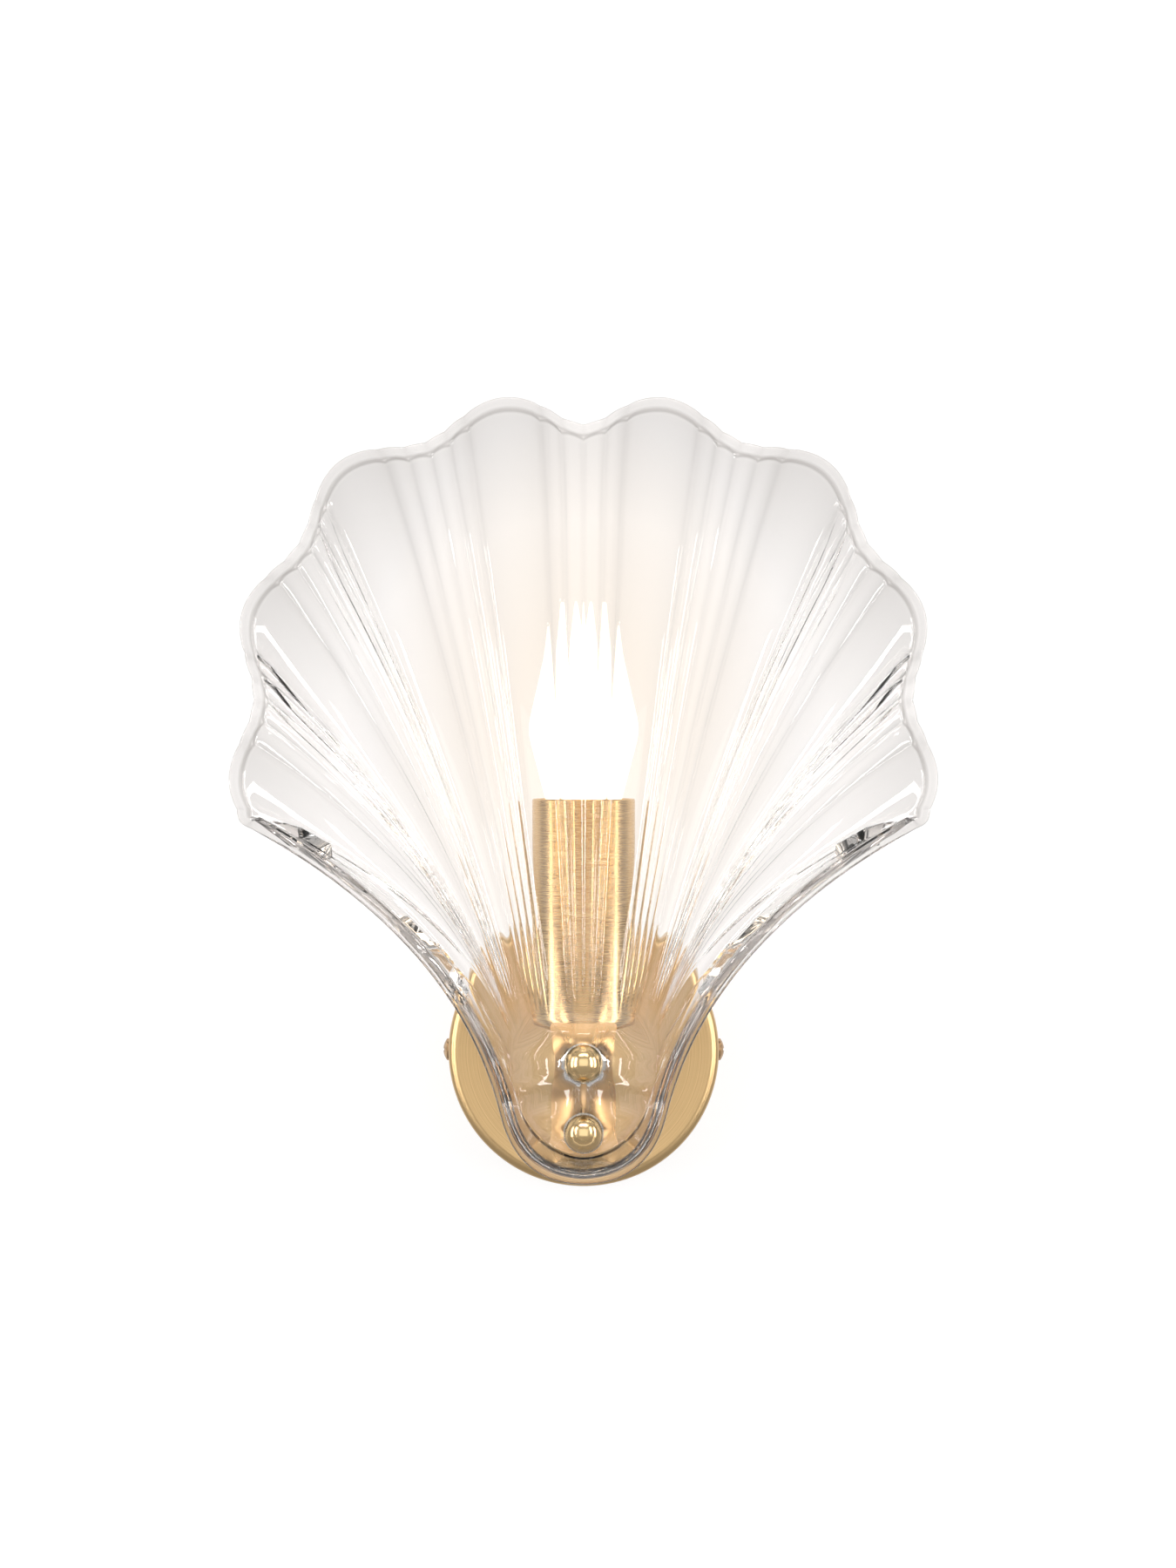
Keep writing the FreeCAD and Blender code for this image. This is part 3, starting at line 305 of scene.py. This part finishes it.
# ---- Plate behind the glass
# A small upright plate of satin brass, screwed and brazed to the block. The studs pass through it, and
# faint cloudy wear shows that it was polished by hand.
plate_brass, plate_surface = shader("satin_plate_brass", BRASS_PALE, 1.0, 0.28)
plate_cloud = grain(plate_brass, placed(plate_brass, stretch=(1.0, 1.0, 0.35)), 170.0)
plate_wear = ranged(plate_brass, plate_cloud, 0.0, 1.0)
two_tone(plate_brass, plate_surface, plate_wear, (0.78, 0.49, 0.22), (0.92, 0.62, 0.31))
plate_satin = ranged(plate_brass, plate_cloud, 0.22, 0.34)
plate_brass.node_tree.links.new(plate_satin, plate_surface.inputs["Roughness"])
dress(plate_brass, "glass_plate")


# ---- Washers and sleeves
# Soft clear washers before and behind the glass, and a clear sleeve on each stud, keep the glass off
# the metal. They are a little milky all over, with cloudy patches.
clear_soft, clear_surface = shader("clear_soft_plastic", (0.95, 0.93, 0.90), 0.0, 0.22,
                                   Transmission_Weight=0.55, IOR=1.42)
clear_cloud = grain(clear_soft, placed(clear_soft), 600.0)
clear_soft.node_tree.links.new(ranged(clear_soft, clear_cloud, 0.18, 0.35), clear_surface.inputs["Roughness"])
dress(clear_soft, "upper_front_washer", "lower_front_washer", "upper_rear_washer", "lower_rear_washer")
dress(clear_soft, "upper_sleeve", "lower_sleeve")


# ---- Glass shell
# Clear pressed glass: a thick flat seat that flares forward into a fan with an open front. Broad smooth
# lobes and valleys of four narrow flutes run out to a flat rim, and the edge curls in below as a lip.
SEAT_T = 0.0070
SEAT_HALF_WIDTH = 0.0228
SEAT_RISE = 0.0132
SEAT_DROP = 0.0300
SEAT_HOLE_R = 0.0030
FAN_CENTRE_Z = 0.1000
FAN_HALF_WIDTH = 0.1058
FAN_RISE = 0.1030
FAN_STEP = math.radians(13.83)
RIM_T = 0.0032
RIM_BAND = 0.0044
RIM_TOP_REACH = 0.1100
LIP_REACH = 0.0890
LIP_BOTTOM = -0.0376
LOBE_OUTLINE = 0.0038
MIDDLE_DIP = 0.45
LOBE_RELIEF = 0.0024
FLUTE_RELIEF = 0.0006
FLUTE_OUTLINE = 0.0003
RIM_INSET = 0.0001
SIDE_TOP = (0.1025, 0.0730)
SIDE_BEND = (0.0390, 0.0380)
SIDE_FOOT = (0.0260, -0.0155)
SIDE_SHARE = 0.74
SEAT_SPREAD = 0.36
FAN_SQUARENESS = 2.4
SEAT_CROWDING = 2.1
RIM_CROWDING = 1.8
CURL_GONE = 0.6
CURL_PULL = 0.45
FLARE_LEAST, FLARE_MORE, FLARE_LENGTH = 1.7, 2.3, 0.070
RIM_RISE_POWER = 0.6
RUN_IN, RUN_IN_SIDES = 0.06, 0.2
SWELL_START = 0.3
LIFT_FADE = 0.6
BAND_TURN, BAND_TURN_LENGTH = 0.9, 0.1
FRONT_CROWDING, BACK_CROWDING = 1.25, 1.15
VALLEY_HALF = 0.54
SHOULDER = 0.12
RIBS = 4
LEAN_STEP = math.radians(5.2)
LEAN_MOST = math.radians(22.0)
FAN_COLUMNS, JOIN_COLUMNS, LIP_COLUMNS = 325, 16, 67
FAN_END, JOIN_END, LIP_BEFORE = 7.3, 7.5, -0.02
FRONT_ROWS, CORNER_ROWS, BACK_ROWS = 44, 4, 28
WALL_END = 0.975
CORNER_REACH = (0.0016, 0.0008, 0.0008, 0.0016)
HOLE_SIDES = 48
FACING = Matrix.Rotation(math.pi / 2, 4, "X")
GLASS_COOL = (0.975, 0.945, 0.925)
# Painted light: the warmer colour that the glass takes near the lit bulb.
GLASS_BULB_GLOW = (0.970, 0.885, 0.795)
# Painted shade: the dark grey that the glass is mixed towards on its flutes' ridges, its lobes' flanks and
# its rim's corners.
GLASS_SHADE_TONE = (0.42, 0.39, 0.37)
GLOW_CORE, GLOW_REACH = 0.03, 0.095
RIDGE_GREY_AND_SHADE, FLANK_SHADE, WALL_SHADE_MOST, CORNER_SHADE = 0.10, 0.12, 0.25, 0.75

half_columns = FAN_COLUMNS + JOIN_COLUMNS + LIP_COLUMNS
rows = FRONT_ROWS + 4 * (CORNER_ROWS + 1) + BACK_ROWS + 1
seat_back = -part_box("upper_rear_washer")[0].y
seat_front = seat_back + SEAT_T


def eased(t):
    """Smooth step from 0 to 1."""
    t = min(max(t, 0.0), 1.0)
    return t * t * (3 - 2 * t)


def mixed(a, b, share):
    """Values that run from those of a to those of b with share."""
    return tuple((1 - share) * p + share * q for p, q in zip(a, b))


def bend(p, q, r, t):
    """Point at t on the curve from p to r that leaves p and reaches r along the lines through q."""
    return tuple((1 - t) ** 2 * a + 2 * t * (1 - t) * b + t * t * c for a, b, c in zip(p, q, r))


def fan_line(k):
    """Flute line k of the fan, counted from its middle: (seat x, seat z, rim x, rim z, lean, curl)."""
    seat_x = SEAT_HALF_WIDTH * math.tanh(SEAT_SPREAD * k)
    seat_z = SEAT_RISE * (1 - (seat_x / SEAT_HALF_WIDTH) ** 4) ** 0.25
    a = FAN_STEP * k
    wide = (abs(math.sin(a)) / FAN_HALF_WIDTH) ** FAN_SQUARENESS
    tall = (abs(math.cos(a)) / FAN_RISE) ** FAN_SQUARENESS
    r = (wide + tall) ** (-1 / FAN_SQUARENESS)
    lean = LEAN_MOST * math.tanh(LEAN_STEP * k / LEAN_MOST)
    return seat_x, seat_z, r * math.sin(a), FAN_CENTRE_Z + r * math.cos(a), lean, 1.0


def lip_line(j):
    """Line at share j of the way from the fan's last lobe round to the foot of the seat."""
    a = math.radians(90) * max(j, 0.0) ** SEAT_CROWDING
    s = 1 - (1 - j) ** RIM_CROWDING
    if s < SIDE_SHARE:
        rim = bend(SIDE_TOP, SIDE_BEND, SIDE_FOOT, s / SIDE_SHARE)
    else:
        slope = (SIDE_FOOT[0] - SIDE_BEND[0]) / (SIDE_FOOT[1] - SIDE_BEND[1])
        corner = (SIDE_FOOT[0] + slope * (LIP_BOTTOM - SIDE_FOOT[1]), LIP_BOTTOM)
        rim = bend(SIDE_FOOT, corner, (0.0, LIP_BOTTOM), (s - SIDE_SHARE) / (1 - SIDE_SHARE))
    return SEAT_HALF_WIDTH * math.cos(a), -SEAT_DROP * math.sin(a), *rim, LEAN_MOST, 1 - eased(j / CURL_GONE)


def folded(c):
    """Column c counted from the fan's middle on either side, and the side: 1 is the right."""
    c = c % (2 * half_columns)
    return (c, 1) if c <= half_columns else (2 * half_columns - c, -1)


def station(c):
    """Where column c stands along the fan: its count of lobes from the middle."""
    join = max(c - FAN_COLUMNS, 0.0) / JOIN_COLUMNS
    return min(c, FAN_COLUMNS) / FAN_COLUMNS * FAN_END + join * (JOIN_END - FAN_END)


def line_at(c):
    """Line of column c, as fan_line and lip_line give it, the one flowing into the other."""
    c, side = folded(c)
    join = (c - FAN_COLUMNS) / JOIN_COLUMNS
    if join <= 0:
        line = fan_line(station(c))
    elif join >= 1:
        line = lip_line((c - FAN_COLUMNS - JOIN_COLUMNS) / LIP_COLUMNS)
    else:
        line = mixed(fan_line(station(c)), lip_line(LIP_BEFORE * (1 - join)), eased(join))
    seat_x, seat_z, rim_x, rim_z, lean, curl = line
    return side * seat_x, seat_z, side * rim_x, rim_z, side * lean, curl


def swell_at(c):
    """(lobe, flute) at column c: lobe rises from valley to crest, flute falls to -1 on a ridge."""
    k = min(station(folded(c)[0]), JOIN_END)
    dip = MIDDLE_DIP * math.cos(math.pi * min(k, 1) / 2) ** 2
    lobe = -math.cos(math.pi * k) * (1 + dip)
    off_valley = abs((k + 1) % 2 - 1)
    if off_valley <= VALLEY_HALF:
        place = (off_valley / VALLEY_HALF * RIBS / 2) % 1.0
        return lobe, 0.5 - 1.5 * abs(2 * place - 1) ** 2
    return lobe, -max(1 - (off_valley - VALLEY_HALF) / SHOULDER, 0.0) ** 2


def reach_of(z):
    """How far off the wall the rim stands at height z."""
    share = max((z - LIP_BOTTOM) / (FAN_CENTRE_Z + FAN_RISE - LIP_BOTTOM), 0.0)
    return LIP_REACH + (RIM_TOP_REACH - LIP_REACH) * share ** RIM_RISE_POWER


column_cache = {}


def column(c):
    """What the wall needs at column c, kept: (line, lobe, flute, outward, rim's foot, rim's edge)."""
    key = round(c % (2 * half_columns), 3)
    if key not in column_cache:
        line = line_at(key)
        lobe, flute = swell_at(key)
        before, after = line_at(key - 0.5), line_at(key + 0.5)
        out = Vector((before[3] - after[3], after[2] - before[2])).normalized()
        edge = Vector(line[2:4]) + out * (LOBE_OUTLINE * lobe + FLUTE_OUTLINE * flute - RIM_INSET)
        column_cache[key] = (line, lobe, flute, out, edge - out * RIM_BAND, edge)
    return column_cache[key]


def inside(c, v):
    """Point on the plain inside of the wall, v of the way from the seat to the foot of the rim."""
    (seat_x, seat_z, rim_x, rim_z, lean, curl), lobe, flute, out, foot, edge = column(c)
    length = math.hypot(foot[0] - seat_x, foot[1] - seat_z)
    pull = CURL_PULL * length
    curved = (seat_x + pull * math.sin(lean), seat_z + pull * math.cos(lean))
    straight = ((seat_x + foot[0]) / 2, (seat_z + foot[1]) / 2)
    x, z = bend((seat_x, seat_z), mixed(straight, curved, curl), foot, v)
    power = FLARE_LEAST + FLARE_MORE * (1 - math.exp(-length / FLARE_LENGTH))
    return Vector((x, -(seat_front + (reach_of(foot[1]) - seat_front) * v ** power), z))


def wall_point(c, v, face):
    """Point on the front (face -1) or the back (face 1) of the wall."""
    across = inside(c + 0.5, v) - inside(c - 0.5, v)
    along = inside(c, min(v + 0.01, 1.0)) - inside(c, max(v - 0.01, 0.0))
    normal = across.cross(along).normalized() if v > 0 else Vector((0, 1, 0))
    if normal.y < 0:
        normal = -normal
    line, lobe, flute, out, foot, edge = column(c)
    run_in = RUN_IN + RUN_IN_SIDES * (line[0] / SEAT_HALF_WIDTH) ** 4
    swell = eased(v / run_in) * (SWELL_START + (1 - SWELL_START) * v)
    lift = swell * (1 - eased((v - LIFT_FADE) / (1 - LIFT_FADE))) * LOBE_RELIEF * lobe
    if face < 0:
        return inside(c, v) + normal * (lift + swell * FLUTE_RELIEF * flute)
    thick = RIM_T + (SEAT_T - RIM_T) * ((1 - v) * normal.y) ** 2
    turn = eased((v - BAND_TURN) / BAND_TURN_LENGTH)
    wall = normal * ((1 - turn) * thick) + Vector((out[0] / 3, 1, out[1] / 3)) * (turn * RIM_T)
    return inside(c, v) + wall + normal * lift


def rim_point(c, corner, share):
    """Point on one of the rim's four rounded corners, counted from the front of the wall to its back."""
    line, lobe, flute, out, foot, edge = column(c)
    reach = reach_of(foot[1])
    chain = [wall_point(c, WALL_END, -1), wall_point(c, 1.0, -1), Vector((edge[0], -reach, edge[1]))]
    chain += [Vector((edge[0], RIM_T - reach, edge[1])), wall_point(c, 1.0, 1), wall_point(c, WALL_END, 1)]
    before, here, after = chain[corner:corner + 3]
    reach_in = CORNER_REACH[corner]
    start = here + (before - here).normalized() * reach_in
    end = here + (after - here).normalized() * reach_in
    return Vector(bend(start, here, end, share))


def shell_point(c, row):
    """Point in column c and a row, counted from the seat's front over the rim to the seat's back."""
    if row <= FRONT_ROWS:
        return wall_point(c, WALL_END * (row / FRONT_ROWS) ** FRONT_CROWDING, -1)
    left = rows - row
    if left <= BACK_ROWS:
        return wall_point(c, WALL_END * (left / BACK_ROWS) ** BACK_CROWDING, 1)
    corner, step = divmod(row - FRONT_ROWS - 1, CORNER_ROWS + 1)
    return rim_point(c, corner, step / CORNER_ROWS)


def painted_shade_at(c, row):
    """How much painted shade darkens the glass: on the flutes' ridges, where it also stands for the thicker
    glass's own grey, and as dark lines of bent light on the lobes' flanks and the rim's corners.
    """
    ridge = 0.5 - swell_at(c)[1]
    flank = 1 - abs(column(c)[1])
    corner, step = divmod(row - FRONT_ROWS - 1, CORNER_ROWS + 1)
    on_corner = 0 <= corner < len(CORNER_REACH) and step == CORNER_ROWS // 2
    wall_shade = min(RIDGE_GREY_AND_SHADE * ridge + FLANK_SHADE * flank, WALL_SHADE_MOST)
    return wall_shade * min(row / FRONT_ROWS, 1.0) + CORNER_SHADE * on_corner


def edges_of(verts):
    """The edges at these vertices, each once and always in the same order."""
    return list(dict.fromkeys(e for v in verts for e in v.link_edges))


glass_mesh = bmesh.new()
bmesh.ops.create_grid(glass_mesh, x_segments=2 * half_columns, y_segments=rows, size=1.0)
painted_shade_layer = glass_mesh.verts.layers.float.new("painted_shade")
for vert in glass_mesh.verts:
    c, row = round((vert.co.x + 1) * half_columns), round((vert.co.y + 1) / 2 * rows)
    vert[painted_shade_layer] = painted_shade_at(c, row)
    vert.co = shell_point(c, row)
bmesh.ops.remove_doubles(glass_mesh, verts=glass_mesh.verts, dist=0.000001)
hole_rims = {}
for depth in (seat_back, seat_front):
    seat_edge = [e for e in glass_mesh.edges if e.is_boundary and abs(e.verts[0].co.y + depth) < 0.0001]
    for stud in ("upper_stud", "lower_stud"):
        stud_low, stud_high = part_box(stud)
        centre = Matrix.Translation((0, -depth, (stud_low.z + stud_high.z) / 2)) @ FACING
        ring = bmesh.ops.create_circle(glass_mesh, cap_ends=False, segments=HOLE_SIDES, radius=SEAT_HOLE_R,
                                       matrix=centre)
        ring_edges = edges_of(ring["verts"])
        hole_rims.setdefault(stud, []).extend(ring_edges)
        seat_edge += ring_edges
    bmesh.ops.triangle_fill(glass_mesh, use_beauty=True, use_dissolve=False, edges=seat_edge)
for edges in hole_rims.values():
    bmesh.ops.bridge_loops(glass_mesh, edges=edges)
bmesh.ops.recalc_face_normals(glass_mesh, faces=glass_mesh.faces)


def piece(name, mesh, made, body):
    """A finished mesh as an object that rides on a body, with smooth shading."""
    data = bpy.data.meshes.new(name)
    mesh.to_mesh(data)
    mesh.free()
    data.shade_smooth()
    data.materials.append(made)
    made_object = bpy.data.objects.new(name, data)
    bpy.context.scene.collection.objects.link(made_object)
    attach(made_object, body)
    return made_object


pressed, pressed_surface = shader("clear_pressed_glass", GLASS_COOL, 0.0, 0.0,
                                  Transmission_Weight=0.985, IOR=1.48)
# Painted light: the glass's colour warms towards the lit bulb, as if the bulb lit it.
bulb_middle = (0.0, bulb_axis_y, (bulb_low.z + bulb_high.z) / 2)
from_bulb = distance(pressed, placed(pressed, bulb_middle, (1.4, 0.4, 1.0)))
bulb_glow_share = ranged(pressed, from_bulb, 1.0, 0.0, GLOW_CORE, GLOW_REACH)
two_tone(pressed, pressed_surface, bulb_glow_share, GLASS_COOL, GLASS_BULB_GLOW)
# Painted shade: a share kept on each vertex mixes the glass's colour towards dark grey. This draws dark lines
# where the glass bends light and greys the thicker ridges.
painted_shade = pressed.node_tree.nodes.new("ShaderNodeAttribute")
painted_shade.attribute_name = "painted_shade"
glass_and_glow_tone = pressed_surface.inputs["Base Color"].links[0].from_socket
shade_mix = pressed.node_tree.nodes.new("ShaderNodeMix")
shade_mix.data_type = "RGBA"
shade_mix.inputs["B"].default_value = (*GLASS_SHADE_TONE, 1.0)
pressed.node_tree.links.new(painted_shade.outputs["Fac"], shade_mix.inputs["Factor"])
pressed.node_tree.links.new(glass_and_glow_tone, shade_mix.inputs["A"])
pressed.node_tree.links.new(shade_mix.outputs["Result"], pressed_surface.inputs["Base Color"])
ripple = grain(pressed, placed(pressed), 60.0, 1.0)
relief(pressed, pressed_surface, ripple, 0.0004, 0.15)
shell = piece("pressed_glass_shell", glass_mesh, pressed, "fixture")
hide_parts("glass_shell")


# ---- Knurled dome nuts
# Two turned brass nuts: a knurled collar with a bevelled front edge, a small step and a polished dome.
# They are lacquered, and the knurl is pressed in as a ring of fine teeth.
TEETH = 48
KNURL_DEPTH = 0.00028
COLLAR_H = 0.0024
COLLAR_BEVEL = 0.00045
DOME_R = 0.0057
DOME_SEGMENTS = 24

nut_brass, nut_surface = shader("polished_nut_brass", (0.80, 0.58, 0.30), 1.0, 0.12)
nut_haze = grain(nut_brass, placed(nut_brass), 420.0)
nut_brass.node_tree.links.new(ranged(nut_brass, nut_haze, 0.15, 0.25), nut_surface.inputs["Roughness"])
relief(nut_brass, nut_surface, grain(nut_brass, placed(nut_brass), 900.0), 0.00002)


def nut_mesh(base, z, collar_r, height):
    """Collar with teeth from a circle pushed up in rings, and a dome on top."""
    made = bmesh.new()
    sides = TEETH * 4
    dome_rise = height - COLLAR_H
    ball = (DOME_R ** 2 + dome_rise ** 2) / (2 * dome_rise)
    rings = [(collar_r - COLLAR_BEVEL, 0.0, 0.4), (collar_r, COLLAR_BEVEL, 1.0)]
    rings += [(collar_r, COLLAR_H - COLLAR_BEVEL, 1.0), (collar_r - COLLAR_BEVEL, COLLAR_H, 0.6)]
    rings += [(DOME_R, COLLAR_H, 0.0)]
    for i in range(1, DOME_SEGMENTS):
        a = math.asin(DOME_R / ball) * (1 - i / DOME_SEGMENTS)
        rings.append((ball * math.sin(a), height - ball + ball * math.cos(a), 0.0))
    circle = bmesh.ops.create_circle(made, cap_ends=False, segments=sides, radius=1.0)
    loop = edges_of(circle["verts"])
    verts = circle["verts"]
    for index, (r, rise, teeth) in enumerate(rings):
        if index:
            grown = bmesh.ops.extrude_edge_only(made, edges=loop)["geom"]
            verts = [g for g in grown if isinstance(g, bmesh.types.BMVert)]
            loop = [g for g in grown if isinstance(g, bmesh.types.BMEdge) and g.is_boundary]
        for vert in verts:
            a = math.atan2(vert.co.y, vert.co.x)
            notch = 0.5 - 0.5 * math.cos(TEETH * a)
            reach = r - KNURL_DEPTH * teeth * notch
            vert.co = (reach * math.cos(a), reach * math.sin(a), rise)
    bmesh.ops.contextual_create(made, geom=loop)
    bottom = [e for e in made.edges if e.is_boundary]
    bmesh.ops.contextual_create(made, geom=bottom)
    bmesh.ops.recalc_face_normals(made, faces=made.faces)
    bmesh.ops.transform(made, matrix=Matrix.Translation((0, base, z)) @ FACING, verts=made.verts)
    return made


for which in ("upper", "lower"):
    nut_low, nut_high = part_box(which + "_knurled_nut")
    nut_z, nut_r = (nut_low.z + nut_high.z) / 2, (nut_high.x - nut_low.x) / 2
    turned = nut_mesh(nut_high.y, nut_z, nut_r, nut_high.y - nut_low.y)
    nut = piece(which + "_dome_nut", turned, nut_brass, which + "_nut")
    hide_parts(which + "_knurled_nut")


# ---- Wall behind the sconce
# A plain white wall, which isn't part of the object. It is white to the camera and keeps a soft shadow, but
# what the glass bends and the metal mirrors sees a painted pool of light on it, which fades outside its
# middle. From behind it can be looked through.
WALL_SIZE = 3.0
WALL_GAP = 0.0006
FIELD_Z = 0.09
FIELD_R = 0.19
FIELD_START = 0.085
FIELD_BRIGHT, FIELD_EDGE = 0.96, 0.30
CAMERA_BRIGHT = 0.78
UNSEEN_SHARE = 0.4
PAINT_SEEN, PAINT_UNSEEN = 0.25, 0.10
wall_data = bmesh.new()
bmesh.ops.create_grid(wall_data, x_segments=1, y_segments=1, size=WALL_SIZE)
bmesh.ops.transform(wall_data, matrix=Matrix.Translation((0, WALL_GAP, 0)) @ FACING, verts=wall_data.verts)
wall_mesh = bpy.data.meshes.new("wall")
wall_data.to_mesh(wall_mesh)
wall_data.free()
wall = bpy.data.objects.new("wall", wall_mesh)
bpy.context.scene.collection.objects.link(wall)

paint, paint_surface = shader("white_wall_paint", (PAINT_SEEN,) * 3, 0.0, 0.9, Specular_IOR_Level=0.0)
paint_surface.inputs["Emission Color"].default_value = (1.0, 1.0, 1.0, 1.0)
tree = paint.node_tree
rays = tree.nodes.new("ShaderNodeLightPath")


def worked(operation, first, second):
    """Two values of the wall's paint, joined by the given operation."""
    maths = tree.nodes.new("ShaderNodeMath")
    maths.operation = operation
    tree.links.new(first, maths.inputs[0])
    tree.links.new(second, maths.inputs[1])
    return maths.outputs["Value"]


seen = worked("MAXIMUM", rays.outputs["Is Camera Ray"], rays.outputs["Is Glossy Ray"])
seen = worked("MAXIMUM", seen, rays.outputs["Is Transmission Ray"])
# Painted light: what the glass and the metal see on the wall is a pool, brightest in its middle and dimmer
# outward.
off_middle = distance(paint, placed(paint, (0.0, 0.0, FIELD_Z)))
painted_light_pool = ranged(paint, off_middle, FIELD_BRIGHT, FIELD_EDGE, FIELD_START, FIELD_R)
shown = tree.nodes.new("ShaderNodeMix")
shown.inputs["B"].default_value = CAMERA_BRIGHT
tree.links.new(rays.outputs["Is Camera Ray"], shown.inputs["Factor"])
tree.links.new(painted_light_pool, shown.inputs["A"])
dimmed = worked("MULTIPLY", shown.outputs["Result"], ranged(paint, seen, UNSEEN_SHARE, 1.0, 0.0, 1.0))
tree.links.new(dimmed, paint_surface.inputs["Emission Strength"])
paint_tone = ranged(paint, rays.outputs["Is Camera Ray"], PAINT_UNSEEN, PAINT_SEEN, 0.0, 1.0)
tree.links.new(paint_tone, paint_surface.inputs["Base Color"])
geometry = tree.nodes.new("ShaderNodeNewGeometry")
clear = tree.nodes.new("ShaderNodeBsdfTransparent")
either = tree.nodes.new("ShaderNodeMixShader")
tree.links.new(geometry.outputs["Backfacing"], either.inputs["Fac"])
tree.links.new(paint_surface.outputs["BSDF"], either.inputs[1])
tree.links.new(clear.outputs["BSDF"], either.inputs[2])
tree.links.new(either.outputs["Shader"], tree.nodes["Material Output"].inputs["Surface"])
wall_mesh.materials.append(paint)


# ---- Studio light and camera
# Two tall narrow lamps on each side draw the glass's white lines, one hangs above, a broad pale panel stands
# in front, and the room is grey. The camera stands 1.5 m from the wall, level with the picture's middle.
LAMP_AIM = Vector((0, -0.05, 0.06))


def lamp(name, place, size, power):
    """A soft square-cornered lamp that faces the sconce."""
    data = bpy.data.lights.new(name, "AREA")
    data.shape = "RECTANGLE"
    data.size, data.size_y = size
    data.energy = power
    made = bpy.data.objects.new(name, data)
    made.location = place
    made.rotation_euler = (LAMP_AIM - Vector(place)).to_track_quat("-Z", "Y").to_euler()
    bpy.context.scene.collection.objects.link(made)


for side in (-1, 1):
    lamp("front_strip", (side * 1.1, -1.0, 0.30), (0.15, 1.3), 8.5)
    lamp("side_strip", (side * 1.3, -0.4, 0.20), (0.12, 1.2), 6.0)
lamp("top_lamp", (0.0, -0.9, 1.3), (1.2, 0.2), 8.0)
lamp("front_panel", (0.0, -2.6, 0.5), (2.6, 2.0), 15.5)

room = bpy.data.worlds.new("pale_room")
bpy.context.scene.world = room
room.use_nodes = True
room.node_tree.nodes["Background"].inputs["Color"].default_value = (0.96, 0.95, 0.94, 1.0)
room.node_tree.nodes["Background"].inputs["Strength"].default_value = 0.45
bpy.context.scene.view_settings.view_transform = "Standard"

CAMERA_HEIGHT = 0.0869
CAMERA_SIDE = 0.0014
camera_data = bpy.data.cameras.new("camera")
camera_data.sensor_fit = "HORIZONTAL"
camera_data.sensor_width = 36.0
camera_data.lens = 139.0
camera = bpy.data.objects.new("camera", camera_data)
camera.location = (CAMERA_SIDE, -1.5, CAMERA_HEIGHT)
camera.rotation_euler = (math.radians(90), 0, 0)
bpy.context.scene.collection.objects.link(camera)
bpy.context.scene.camera = camera
